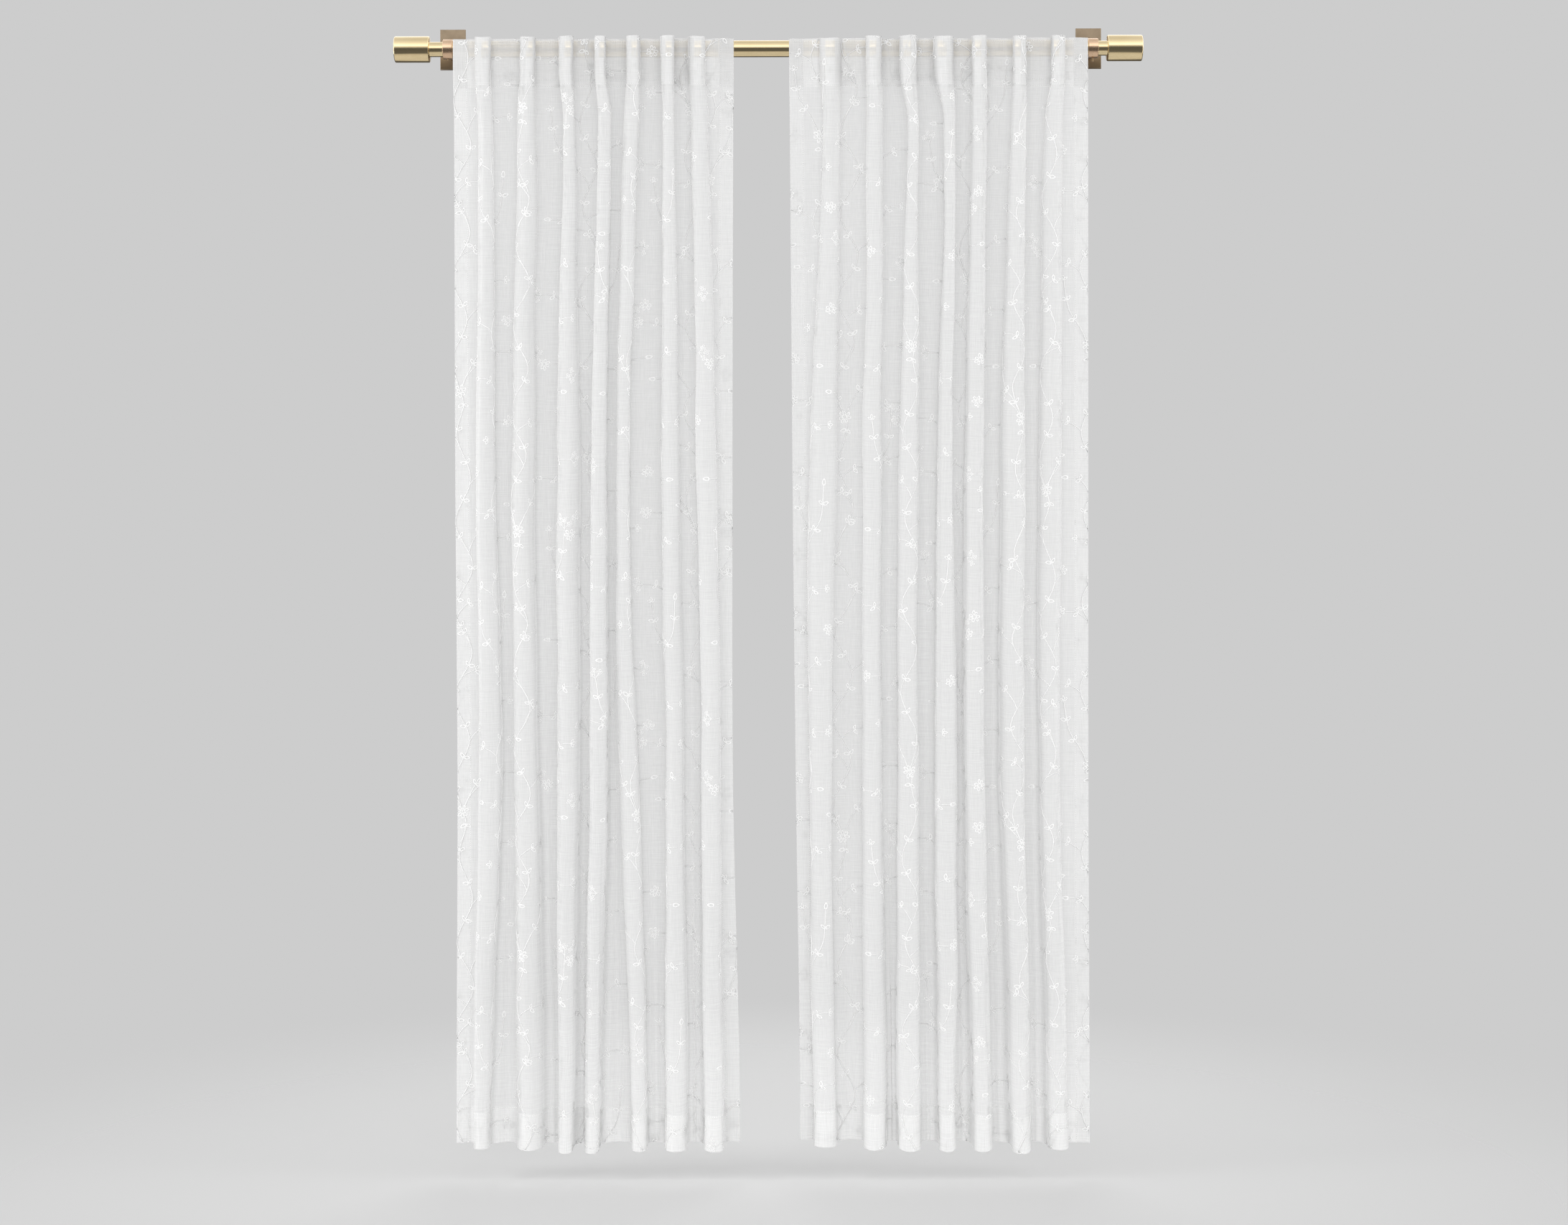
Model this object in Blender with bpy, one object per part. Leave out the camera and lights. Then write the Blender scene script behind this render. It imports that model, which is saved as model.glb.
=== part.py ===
# Pair of sheer back-tab curtain panels on a rod with two finials and two wall brackets.
# Metres in the scene, millimetres in the named sizes. While it is built, the rod's axis is at Y = Z = 0,
# the wall lies at +Y and the folds stand towards -Y. At the end all is moved so that the middle of the
# bounding box's floor is the origin.

import math
from collections import namedtuple

import bmesh
import bpy
from mathutils import Matrix, Vector

MM = 0.001

# Rod, finials and brackets
ROD_DIAMETER = 31.75
ROD_WALL = 1.2
ROD_SIDES = 32
OVERALL_LENGTH = 1450.0
HEAD_DIAMETER = 50.0
HEAD_LENGTH = 67.5
HEAD_BEVEL = 1.5
NECK_DIAMETER = 28.6
PLUG_LENGTH = 30.0
RING_CENTRES = {"left": -621.5, "right": 629.7}
RING_WIDTH = 19.0
RING_DIAMETER = 38.0
RING_BORE = 32.6
ARM_DIAMETER = 13.0
ARM_SIDES = 20
ARM_ROOT = 17.0
PROJECTION = 76.0
PLATE_SIZE = (50.0, 6.0, 79.0)
PLATE_BEVEL = 1.2
PLATE_RAISE = 15.0
SCREW_DIAMETER = 5.0
SCREW_HOLE = 5.8
SCREW_SIDES = 12
SCREW_PROUD = {"left": 2.5, "right": 7.0}
GAP = 0.3

# Cloth
CLOTH_WIDTH = 1321.0
CLOTH_LENGTH = 2133.6
HEADING_STAND = 15.6
FLAT_FRONT = 21.5
BODY_THICKNESS = 1.2
HEM_THICKNESS = 2.0
SIDE_HEM_THICKNESS = 1.7
HEADING_DEPTH = 95.0
HEM_DEPTH = 70.0
SIDE_HEM_WIDTH = 28.0
TOP_DROP = 6.0

# Back tabs
TABS = 8
TAB_INSET = 24.0
TAB_WIDTH = 34.0
TAB_THICKNESS = 1.0
TAB_SEAM = 8.0
TAB_TOP = 2.5
TAB_BOTTOM = 84.0
# Where a tab touches the rod, in degrees up from the wall's side, and the turn between its points there
TAB_FIRST = 110
TAB_LAST = -40
TAB_TURN = 25
# The bend with which a tab leaves its sewn top, and how its foot eases on to the heading
TAB_BEND = (4.5, 3.8)
TAB_EASE = 1.5

# Distances below the top edge at which the folds were read from the photo
LEVELS = (60.0, 160.0, 864.0, 1444.0, 2100.0)

# How a fold's section changes down the cloth: the neck's share of the fold's width, the radius where the
# flats turn forward, and how far the flats bow back between the folds
NECK_SHARE = (0.30, 0.40, 0.72, 0.82, 0.95)
CORNER = (4.0, 5.0, 8.0, 9.0, 11.0)
FLAT_BOW = (0.0, 0.5, 3.0, 4.0, 6.0)
# Handles of the flank's curve: past the neck in corner radii, and up the flank as a share of it
FOOT_TUCK = 0.2
FLANK_RISE = 0.35

# Each fold's place along the rod and its width at the five levels, then how far its front leans to the
# right and drops at the hem
Fold = namedtuple("Fold", "heading waist middle low hem lean drop")
LEFT_FOLDS = (
    Fold((-548, 31), (-543, 29), (-543, 36), (-537, 45), (-553, 29), lean=0, drop=0),
    Fold((-462, 29), (-463, 36), (-472, 45), (-467, 43), (-461, 51), lean=-8, drop=5),
    Fold((-388, 29), (-382, 23), (-385, 44), (-387, 39), (-391, 27), lean=-7, drop=7),
    Fold((-322, 21), (-313, 25), (-326, 28), (-327, 33), (-341, 26), lean=-6, drop=9),
    Fold((-259, 26), (-263, 29), (-281, 24), (-269, 35), (-250, 29), lean=2, drop=6),
    Fold((-193, 26), (-192, 22), (-188, 36), (-182, 36), (-182, 41), lean=0, drop=6),
    Fold((-137, 33), (-130, 33), (-120, 37), (-112, 36), (-109, 37), lean=7, drop=6),
)
RIGHT_FOLDS = (
    Fold((120, 43), (124, 33), (103, 51), (98, 41), (105, 44), lean=0, drop=2),
    Fold((202, 30), (206, 30), (197, 35), (196, 39), (201, 43), lean=-3, drop=8),
    Fold((268, 34), (276, 19), (268, 40), (265, 38), (265, 47), lean=0, drop=8),
    Fold((336, 39), (348, 22), (337, 29), (338, 41), (338, 31), lean=3, drop=7),
    Fold((405, 29), (404, 29), (395, 35), (394, 37), (406, 35), lean=8, drop=7),
    Fold((482, 25), (480, 28), (467, 46), (466, 45), (480, 38), lean=8, drop=11),
    Fold((557, 26), (548, 35), (540, 43), (539, 37), (551, 39), lean=7, drop=3),
)

# Each panel's folds, its two side edges at the five levels, and how far each lower corner is lifted
Panel = namedtuple("Panel", "folds left_edge right_edge corner_lift")
PANELS = {
    "left": Panel(LEFT_FOLDS, (-610, -608, -607, -604, -607), (-67, -68, -71, -71, -59), (0.0, 0.7)),
    "right": Panel(RIGHT_FOLDS, (40, 41, 45, 50, 57), (618, 618, 617, 616, 617), (5.6, -2.2)),
}

# Steps along the section and down the cloth
FLANK_STEPS = 3
FRONT_STEPS = 2
FLAT_STEPS = 2
FINE = 8
STEP_RAMP = 1.0
ROWS = (0.0, 60.0, HEADING_DEPTH - STEP_RAMP, HEADING_DEPTH + STEP_RAMP, 160.0, 300.0, 520.0, 864.0, 1150.0,
        1444.0, 1780.0, CLOTH_LENGTH - HEM_DEPTH - STEP_RAMP, CLOTH_LENGTH - HEM_DEPTH + STEP_RAMP,
        CLOTH_LENGTH)

# name: base colour, metallic, roughness
FINISHES = {
    "voile": ((0.86, 0.86, 0.85, 1.0), 0.0, 0.85),
    "rod_brass": ((0.62, 0.45, 0.24, 1.0), 1.0, 0.32),
    "bracket_brass": ((0.58, 0.36, 0.24, 1.0), 1.0, 0.35),
    "plate_bronze": ((0.30, 0.21, 0.13, 1.0), 1.0, 0.42),
    "screw_brass": ((0.50, 0.36, 0.22, 1.0), 1.0, 0.35),
}


def clear_scene():
    for thing in list(bpy.data.objects):
        bpy.data.objects.remove(thing, do_unlink=True)


def make_material(name):
    colour, metallic, roughness = FINISHES[name]
    material = bpy.data.materials.new(name)
    material.use_nodes = True
    shader = material.node_tree.nodes["Principled BSDF"]
    shader.inputs["Base Color"].default_value = colour
    shader.inputs["Metallic"].default_value = metallic
    shader.inputs["Roughness"].default_value = roughness
    return material


def add_object(name, bm, material, smooth_angle=None):
    bmesh.ops.recalc_face_normals(bm, faces=bm.faces)
    mesh = bpy.data.meshes.new(name)
    bm.to_mesh(mesh)
    bm.free()
    mesh.materials.append(material)
    if smooth_angle is not None:
        mesh.shade_smooth()
        mesh.set_sharp_from_angle(angle=math.radians(smooth_angle))
    made = bpy.data.objects.new(name, mesh)
    bpy.context.scene.collection.objects.link(made)
    return made


def along_levels(values, depth):
    """A smooth curve through the values at LEVELS, level above the first and below the last."""
    if depth <= LEVELS[0]:
        return values[0]
    if depth >= LEVELS[-1]:
        return values[-1]
    last = len(LEVELS) - 1
    step = max(index for index in range(last) if LEVELS[index] <= depth)
    slopes = []
    for index in (step, step + 1):
        before = max(index - 1, 0)
        after = min(index + 1, last)
        slopes.append((values[after] - values[before]) / (LEVELS[after] - LEVELS[before]))
    if step == 0:
        slopes[0] = 0.0
    if step + 1 == last:
        slopes[1] = 0.0
    span = LEVELS[step + 1] - LEVELS[step]
    t = (depth - LEVELS[step]) / span
    start = (2 * t ** 3 - 3 * t ** 2 + 1) * values[step] + (t ** 3 - 2 * t ** 2 + t) * span * slopes[0]
    end = (3 * t ** 2 - 2 * t ** 3) * values[step + 1] + (t ** 3 - t ** 2) * span * slopes[1]
    return start + end


def bezier(a, b, c, d, t):
    u = 1.0 - t
    weights = (u ** 3, 3 * u * u * t, 3 * u * t * t, t ** 3)
    return tuple(sum(w * p[axis] for w, p in zip(weights, (a, b, c, d))) for axis in (0, 1))


def fold_section(width, neck, corner, lean, reach, flank_steps, front_steps):
    """Open outline of one forward fold, from its left foot to its right foot.

    Points are (along the rod, forward) from the middle of the neck. The flanks are Bezier curves that leave
    the flats level and end pointing forward, and the front is half a circle.
    """
    radius = width / 2
    shoulder = reach - radius
    foot = neck / 2 + corner
    halves = []
    for side in (-1.0, 1.0):
        start = (side * foot, 0.0)
        turn = (side * (neck / 2 - FOOT_TUCK * corner), 0.0)
        rise = (side * radius + lean, FLANK_RISE * shoulder)
        top = (side * radius + lean, shoulder)
        flank = [bezier(start, turn, rise, top, step / flank_steps) for step in range(flank_steps + 1)]
        halves.append(flank)
    front = []
    for step in range(1, 2 * front_steps):
        angle = math.pi * step / (2 * front_steps)
        front.append((lean - radius * math.cos(angle), shoulder + radius * math.sin(angle)))
    return halves[0] + front + halves[1][::-1]


def path_length(points):
    return sum(math.dist(a, b) for a, b in zip(points, points[1:]))


def fold_reach(width, neck, corner, lean, cloth):
    """How far forward a fold stands when its outline takes up the given length of cloth."""
    low, high = width / 2 + 1.0, 160.0
    for _ in range(30):
        middle = (low + high) / 2
        outline = fold_section(width, neck, corner, lean, middle, FINE, FINE)
        if path_length(outline) < cloth:
            low = middle
        else:
            high = middle
    return (low + high) / 2


def folds_at(panel, depth):
    """Each fold of a panel at one depth below the heading's top, with its reach solved from the cloth.

    The cloth between two neighbouring flats' middles is the same at every height, because its threads hang
    straight down.
    """
    left_edge = along_levels(panel.left_edge, depth)
    right_edge = along_levels(panel.right_edge, depth)
    share = along_levels(NECK_SHARE, depth)
    corner = along_levels(CORNER, depth)
    below = min(max((depth - LEVELS[1]) / (LEVELS[-1] - LEVELS[1]), 0.0), 1.0)
    folds = []
    for fold in panel.folds:
        places = (fold.heading, fold.waist, fold.middle, fold.low, fold.hem)
        centre = along_levels([place[0] for place in places], depth)
        width = along_levels([place[1] for place in places], depth)
        lean = fold.lean * below
        folds.append({"middle": centre - lean, "width": width, "neck": share * width, "corner": corner,
                      "lean": lean, "drop": TOP_DROP + (fold.drop - TOP_DROP) * depth / CLOTH_LENGTH})
    tab_pitch = (CLOTH_WIDTH - 2 * TAB_INSET) / (TABS - 1)
    feet = [fold["neck"] / 2 + fold["corner"] for fold in folds]
    for index, fold in enumerate(folds):
        cloth = tab_pitch
        if index == 0:
            cloth += TAB_INSET
            before = fold["middle"] - feet[index] - left_edge
        else:
            other = folds[index - 1]
            before = (fold["middle"] - feet[index] - other["middle"] - feet[index - 1]) / 2
        if index == len(folds) - 1:
            cloth += TAB_INSET
            after = right_edge - fold["middle"] - feet[index]
        else:
            other = folds[index + 1]
            after = (other["middle"] - feet[index + 1] - fold["middle"] - feet[index]) / 2
        loop = cloth - before - after
        fold["reach"] = fold_reach(fold["width"], fold["neck"], fold["corner"], fold["lean"], loop)
    return left_edge, right_edge, folds


def panel_section(panel, depth):
    """The cloth's middle line at one depth, as (x, y, drop), with y negative forward."""
    left_edge, right_edge, folds = folds_at(panel, depth)
    bow = along_levels(FLAT_BOW, depth)
    line = []

    hem_line = left_edge + SIDE_HEM_WIDTH
    line.append((left_edge, -FLAT_FRONT, 0.0))
    start = left_edge
    for index, fold in enumerate(folds):
        foot = fold["neck"] / 2 + fold["corner"]
        end = fold["middle"] - foot
        if index == 0:
            inner = min(hem_line, end - 2 * STEP_RAMP)
            line.append((inner - STEP_RAMP, -FLAT_FRONT, 0.0))
            line.append((inner + STEP_RAMP, -FLAT_FRONT, 0.0))
            line.append((end, -FLAT_FRONT, 0.0))
        else:
            for step in range(FLAT_STEPS + 1):
                t = step / FLAT_STEPS
                back = bow * 4 * t * (1 - t)
                line.append((start + (end - start) * t, back - FLAT_FRONT, 0.0))
        outline = fold_section(fold["width"], fold["neck"], fold["corner"], fold["lean"], fold["reach"],
                               FLANK_STEPS, FRONT_STEPS)
        for x, forward in outline[1:-1]:
            share = forward / fold["reach"]
            line.append((fold["middle"] + x, -FLAT_FRONT - forward, fold["drop"] * share))
        start = fold["middle"] + foot
    outer = max(right_edge - SIDE_HEM_WIDTH, start + 2 * STEP_RAMP)
    line.append((start, -FLAT_FRONT, 0.0))
    line.append((outer - STEP_RAMP, -FLAT_FRONT, 0.0))
    line.append((outer + STEP_RAMP, -FLAT_FRONT, 0.0))
    line.append((right_edge, -FLAT_FRONT, 0.0))
    return line


def cloth_thickness(column, columns, depth):
    if depth < HEADING_DEPTH or depth > CLOTH_LENGTH - HEM_DEPTH:
        return HEM_THICKNESS
    if column < 2 or column >= columns - 2:
        return SIDE_HEM_THICKNESS
    return BODY_THICKNESS


def build_panel(name, panel, material):
    """One panel as a thin closed solid: a front and a back surface offset from the cloth's middle line."""
    bm = bmesh.new()
    front, back = [], []
    for depth in ROWS:
        line = panel_section(panel, depth)
        columns = len(line)
        left_x, right_x = line[0][0], line[-1][0]
        front_row, back_row = [], []
        for column, (x, y, drop) in enumerate(line):
            before = line[max(column - 1, 0)]
            after = line[min(column + 1, columns - 1)]
            run = Vector((after[0] - before[0], after[1] - before[1], 0.0)).normalized()
            outward = Vector((run.y, -run.x, 0.0))
            half = cloth_thickness(column, columns, depth) / 2
            share = (x - left_x) / (right_x - left_x)
            lift = panel.corner_lift[0] + (panel.corner_lift[1] - panel.corner_lift[0]) * share
            z = HEADING_STAND - depth - drop + lift * depth / CLOTH_LENGTH
            middle = Vector((x, y, z))
            front_row.append(bm.verts.new((middle + outward * half) * MM))
            back_row.append(bm.verts.new((middle - outward * half) * MM))
        front.append(front_row)
        back.append(back_row)
    columns = len(front[0])
    for row in range(len(ROWS) - 1):
        for column in range(columns - 1):
            for grid in (front, back):
                corners = (grid[row][column], grid[row][column + 1],
                           grid[row + 1][column + 1], grid[row + 1][column])
                bm.faces.new(corners)
        for column in (0, columns - 1):
            bm.faces.new((front[row][column], back[row][column], back[row + 1][column], front[row + 1][column]))
    for row in (0, len(ROWS) - 1):
        for column in range(columns - 1):
            bm.faces.new((front[row][column], front[row][column + 1],
                          back[row][column + 1], back[row][column]))
    bmesh.ops.triangulate(bm, faces=bm.faces)
    return add_object(name, bm, material, smooth_angle=50)


def tab_path():
    """Middle line of a back tab as (y, z): sewn top, over and behind the rod, down to its sewn foot."""
    against = -FLAT_FRONT + HEM_THICKNESS / 2 + GAP + TAB_THICKNESS / 2
    half_turn = math.radians(TAB_TURN / 2)
    radius = (ROD_DIAMETER / 2 + GAP) / math.cos(half_turn) + TAB_THICKNESS / 2
    top = HEADING_STAND - TAB_TOP
    bottom = HEADING_STAND - TAB_BOTTOM
    points = [(against, top - TAB_SEAM), (against, top), (against + TAB_BEND[0], top + TAB_BEND[1])]
    for degrees in range(TAB_FIRST, TAB_LAST - 1, -TAB_TURN):
        angle = math.radians(degrees)
        points.append((radius * math.cos(angle), radius * math.sin(angle)))
    points.append((against + TAB_EASE, bottom + TAB_SEAM + TAB_EASE))
    points.append((against, bottom + TAB_SEAM - TAB_EASE))
    points.append((against, bottom))
    return points


def build_tab(name, middle_x, material):
    path = tab_path()
    bm = bmesh.new()
    rings = []
    for index, (y, z) in enumerate(path):
        before = path[max(index - 1, 0)]
        after = path[min(index + 1, len(path) - 1)]
        run = Vector((after[0] - before[0], after[1] - before[1])).normalized()
        side = Vector((-run.y, run.x)) * TAB_THICKNESS / 2
        ring = []
        for across, sign in ((-1, 1), (1, 1), (1, -1), (-1, -1)):
            x = middle_x + across * TAB_WIDTH / 2
            ring.append(bm.verts.new(Vector((x, y + sign * side.x, z + sign * side.y)) * MM))
        rings.append(ring)
    for ring, other in zip(rings, rings[1:]):
        for index in range(4):
            following = (index + 1) % 4
            bm.faces.new((ring[index], ring[following], other[following], other[index]))
    bm.faces.new(rings[0])
    bm.faces.new(rings[-1])
    return add_object(name, bm, material, smooth_angle=50)


def build_tabs(side, panel, material):
    """Eight tabs behind one panel, each in the middle of a flat stretch of the heading."""
    left_edge, right_edge, folds = folds_at(panel, LEVELS[0])
    places = [left_edge + TAB_INSET]
    for fold, other in zip(folds, folds[1:]):
        start = fold["middle"] + fold["neck"] / 2 + fold["corner"]
        end = other["middle"] - other["neck"] / 2 - other["corner"]
        places.append((start + end) / 2)
    places.append(right_edge - TAB_INSET)
    for number, place in enumerate(places, start=1):
        build_tab(f"back_tab_{side}_{number}", place, material)


def turned(bm, profile, sides, closed):
    """Turns a profile of (x, radius) around the X axis; a closed profile makes a tube, an open one a bar."""
    rings = []
    for x, radius in profile:
        ring = []
        for index in range(sides):
            angle = 2 * math.pi * index / sides
            ring.append(bm.verts.new(Vector((x, radius * math.cos(angle), radius * math.sin(angle))) * MM))
        rings.append(ring)
    pairs = list(zip(rings, rings[1:]))
    if closed:
        pairs.append((rings[-1], rings[0]))
    for ring, other in pairs:
        for index in range(sides):
            following = (index + 1) % sides
            bm.faces.new((ring[index], ring[following], other[following], other[index]))
    if not closed:
        bm.faces.new(rings[0])
        bm.faces.new(rings[-1])


def rod_ends():
    return (RING_CENTRES["left"] - RING_WIDTH / 2, RING_CENTRES["right"] + RING_WIDTH / 2)


def build_rod(material):
    start, end = rod_ends()
    outer = ROD_DIAMETER / 2
    inner = outer - ROD_WALL
    bm = bmesh.new()
    turned(bm, ((start, outer), (end, outer), (end, inner), (start, inner)), ROD_SIDES, closed=True)
    return add_object("rod", bm, material, smooth_angle=40)


def build_finial(side, material):
    """Cylinder head and neck in one turned piece; the neck goes on into the rod as its plug."""
    sign = -1.0 if side == "left" else 1.0
    rod_end = rod_ends()[0 if side == "left" else 1]
    tip = sign * OVERALL_LENGTH / 2
    head = HEAD_DIAMETER / 2
    neck = NECK_DIAMETER / 2
    base = tip - sign * HEAD_LENGTH
    profile = (
        (tip, head - HEAD_BEVEL), (tip - sign * HEAD_BEVEL, head),
        (base + sign * HEAD_BEVEL, head), (base, head - HEAD_BEVEL),
        (base, neck), (rod_end - sign * PLUG_LENGTH, neck),
    )
    bm = bmesh.new()
    turned(bm, profile, ROD_SIDES, closed=False)
    return add_object(f"finial_{side}", bm, material, smooth_angle=40)


def add_cutter(name, bm):
    bmesh.ops.recalc_face_normals(bm, faces=bm.faces)
    mesh = bpy.data.meshes.new(name)
    bm.to_mesh(mesh)
    bm.free()
    made = bpy.data.objects.new(name, mesh)
    bpy.context.scene.collection.objects.link(made)
    made.hide_render = True
    made.display_type = "WIRE"
    return made


def round_bar(axis_turn, middle, diameter, length, sides):
    bm = bmesh.new()
    place = Matrix.Translation(Vector(middle) * MM) @ axis_turn
    bmesh.ops.create_cone(bm, cap_ends=True, segments=sides, radius1=diameter / 2 * MM,
                          radius2=diameter / 2 * MM, depth=length * MM, matrix=place)
    return bm


def use_boolean(target, cutter, operation):
    change = target.modifiers.new(operation.lower(), "BOOLEAN")
    change.operation = operation
    change.solver = "EXACT"
    change.object = cutter


def build_bracket(side, material):
    """Ring around the rod with its arm to the wall plate and a hole below for the set screw."""
    centre = RING_CENTRES[side]
    outer, inner = RING_DIAMETER / 2, RING_BORE / 2
    near, far = centre - RING_WIDTH / 2, centre + RING_WIDTH / 2
    bm = bmesh.new()
    turned(bm, ((near, outer), (far, outer), (far, inner), (near, inner)), ROD_SIDES, closed=True)
    bracket = add_object(f"bracket_{side}", bm, material, smooth_angle=40)
    arm_end = PROJECTION - PLATE_SIZE[1] - GAP
    along_y = Matrix.Rotation(math.pi / 2, 4, "X")
    arm = round_bar(along_y, (centre, (ARM_ROOT + arm_end) / 2, 0.0), ARM_DIAMETER, arm_end - ARM_ROOT,
                    ARM_SIDES)
    use_boolean(bracket, add_cutter(f"arm_{side}", arm), "UNION")
    hole = round_bar(Matrix.Identity(4), (centre, 0.0, -outer), SCREW_HOLE, 3 * (outer - inner), SCREW_SIDES)
    use_boolean(bracket, add_cutter(f"screw_hole_{side}", hole), "DIFFERENCE")
    return bracket


def build_set_screw(side, material):
    top = -ROD_DIAMETER / 2 - GAP
    bottom = -RING_DIAMETER / 2 - SCREW_PROUD[side]
    bm = round_bar(Matrix.Identity(4), (RING_CENTRES[side], 0.0, (top + bottom) / 2), SCREW_DIAMETER,
                   top - bottom, SCREW_SIDES)
    return add_object(f"set_screw_{side}", bm, material, smooth_angle=40)


def build_wall_plate(side, material):
    width, thickness, height = PLATE_SIZE
    bm = bmesh.new()
    bmesh.ops.create_cube(bm, size=1.0)
    bmesh.ops.scale(bm, vec=Vector(PLATE_SIZE) * MM, verts=bm.verts)
    front_edges = [edge for edge in bm.edges if all(vert.co.y < 0 for vert in edge.verts)]
    bmesh.ops.bevel(bm, geom=front_edges, offset=PLATE_BEVEL * MM, segments=1, affect="EDGES")
    place = Vector((RING_CENTRES[side], PROJECTION - thickness / 2, PLATE_RAISE)) * MM
    bmesh.ops.translate(bm, vec=place, verts=bm.verts)
    return add_object(f"wall_plate_{side}", bm, material, smooth_angle=30)


def stand_on_origin():
    """Moves everything so that the middle of the bounding box's floor is the origin."""
    corners = [vertex.co for thing in bpy.data.objects if not thing.hide_render
               for vertex in thing.data.vertices]
    depth_middle = (min(c.y for c in corners) + max(c.y for c in corners)) / 2
    offset = Vector((0.0, -depth_middle, -min(c.z for c in corners)))
    for thing in bpy.data.objects:
        thing.data.transform(Matrix.Translation(offset))


def build():
    clear_scene()
    materials = {name: make_material(name) for name in FINISHES}
    for side, panel in PANELS.items():
        build_panel(f"panel_{side}", panel, materials["voile"])
        build_tabs(side, panel, materials["voile"])
    build_rod(materials["rod_brass"])
    for side in RING_CENTRES:
        build_finial(side, materials["rod_brass"])
        build_bracket(side, materials["bracket_brass"])
        build_set_screw(side, materials["screw_brass"])
        build_wall_plate(side, materials["plate_bronze"])
    stand_on_origin()


build()
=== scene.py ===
# A pair of sheer voile curtain panels with an embroidered vine, hung by back tabs on a brass rod.
# Cloth sizes are in millimetres, measured from the rod's axis, and turned into metres when a mesh is made.

import math
from collections import namedtuple

import bmesh
import bpy
import numpy as np
from mathutils import Matrix, Vector, noise


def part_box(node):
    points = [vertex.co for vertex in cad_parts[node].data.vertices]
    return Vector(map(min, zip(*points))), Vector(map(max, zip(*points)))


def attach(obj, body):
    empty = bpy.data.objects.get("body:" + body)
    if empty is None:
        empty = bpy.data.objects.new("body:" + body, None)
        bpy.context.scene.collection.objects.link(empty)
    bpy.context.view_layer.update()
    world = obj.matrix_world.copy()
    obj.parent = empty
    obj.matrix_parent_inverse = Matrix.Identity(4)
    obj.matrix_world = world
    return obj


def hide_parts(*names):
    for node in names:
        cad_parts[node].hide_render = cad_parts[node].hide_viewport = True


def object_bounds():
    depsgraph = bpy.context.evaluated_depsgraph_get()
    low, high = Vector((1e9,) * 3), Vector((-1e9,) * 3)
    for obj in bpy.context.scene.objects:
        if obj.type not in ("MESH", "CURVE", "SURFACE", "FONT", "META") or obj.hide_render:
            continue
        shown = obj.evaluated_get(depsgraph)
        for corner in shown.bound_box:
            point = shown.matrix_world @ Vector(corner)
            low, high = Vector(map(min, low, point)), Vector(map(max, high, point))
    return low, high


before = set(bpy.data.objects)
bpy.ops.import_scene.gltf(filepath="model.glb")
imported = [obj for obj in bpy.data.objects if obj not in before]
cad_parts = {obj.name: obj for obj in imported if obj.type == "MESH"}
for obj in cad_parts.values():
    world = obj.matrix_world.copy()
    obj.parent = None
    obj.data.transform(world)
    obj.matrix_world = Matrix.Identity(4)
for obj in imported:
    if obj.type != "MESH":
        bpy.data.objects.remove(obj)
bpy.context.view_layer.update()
mm = 0.001
rodLow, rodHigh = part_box("rod")
rodY = (rodLow[1] + rodHigh[1]) / 2
rodZ = (rodLow[2] + rodHigh[2]) / 2


# A number socket that takes part in sums, so that shader maths reads as an expression
class Wire:
    def __init__(self, graph, socket):
        self.graph = graph
        self.socket = socket

    def __add__(self, other):
        return self.graph.maths("ADD", self, other)

    def __sub__(self, other):
        return self.graph.maths("SUBTRACT", self, other)

    def __rsub__(self, other):
        return self.graph.maths("SUBTRACT", other, self)

    def __mul__(self, other):
        return self.graph.maths("MULTIPLY", self, other)

    def __truediv__(self, other):
        return self.graph.maths("DIVIDE", self, other)

    def __rtruediv__(self, other):
        return self.graph.maths("DIVIDE", other, self)

    __radd__ = __add__
    __rmul__ = __mul__


# Adds nodes to a shader or geometry tree
class Graph:
    def __init__(self, tree):
        self.tree = tree

    def add(self, kind, settings=None, sockets=None):
        made = self.tree.nodes.new(kind)
        for name, value in (settings or {}).items():
            if name == "stops":
                ramp = made.color_ramp
                while len(ramp.elements) < len(value):
                    ramp.elements.new(1.0)
                for stop, (place, tone) in zip(ramp.elements, value):
                    stop.position = place
                    stop.color = (*tone, 1.0)
            else:
                setattr(made, name, value)
        for name, value in (sockets or {}).items():
            socket = made.inputs[name]
            if isinstance(value, Wire):
                self.tree.links.new(value.socket, socket)
            else:
                socket.default_value = value
        return made

    def wire(self, made, name=0):
        return Wire(self, made.outputs[name])

    # Adds a node and gives one of its outputs
    def get(self, kind, settings=None, sockets=None, name=0):
        return self.wire(self.add(kind, settings, sockets), name)

    def maths(self, operation, *values):
        return self.get("ShaderNodeMath", {"operation": operation}, dict(enumerate(values)))

    def clamp(self, value, low=0.0, high=1.0):
        return self.maths("MINIMUM", self.maths("MAXIMUM", value, low), high)

    def axes(self, vector):
        parts = self.add("ShaderNodeSeparateXYZ", None, {0: vector})
        return [self.wire(parts, axis) for axis in "XYZ"]


def newMaterial(name):
    material = bpy.data.materials.new(name)
    material.use_nodes = True
    material.node_tree.nodes.clear()
    return material, Graph(material.node_tree)


def finishMaterial(graph, sockets):
    shader = graph.get("ShaderNodeBsdfPrincipled", None, sockets)
    graph.add("ShaderNodeOutputMaterial", None, {"Surface": shader})


# Each colour is a plain one or a wire
def mixColours(graph, factor, *colours):
    one, other = (colour if isinstance(colour, Wire) else (*colour, 1) for colour in colours)
    return graph.get("ShaderNodeMix", {"data_type": "RGBA"}, {0: factor, 6: one, 7: other}, 2)


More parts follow.
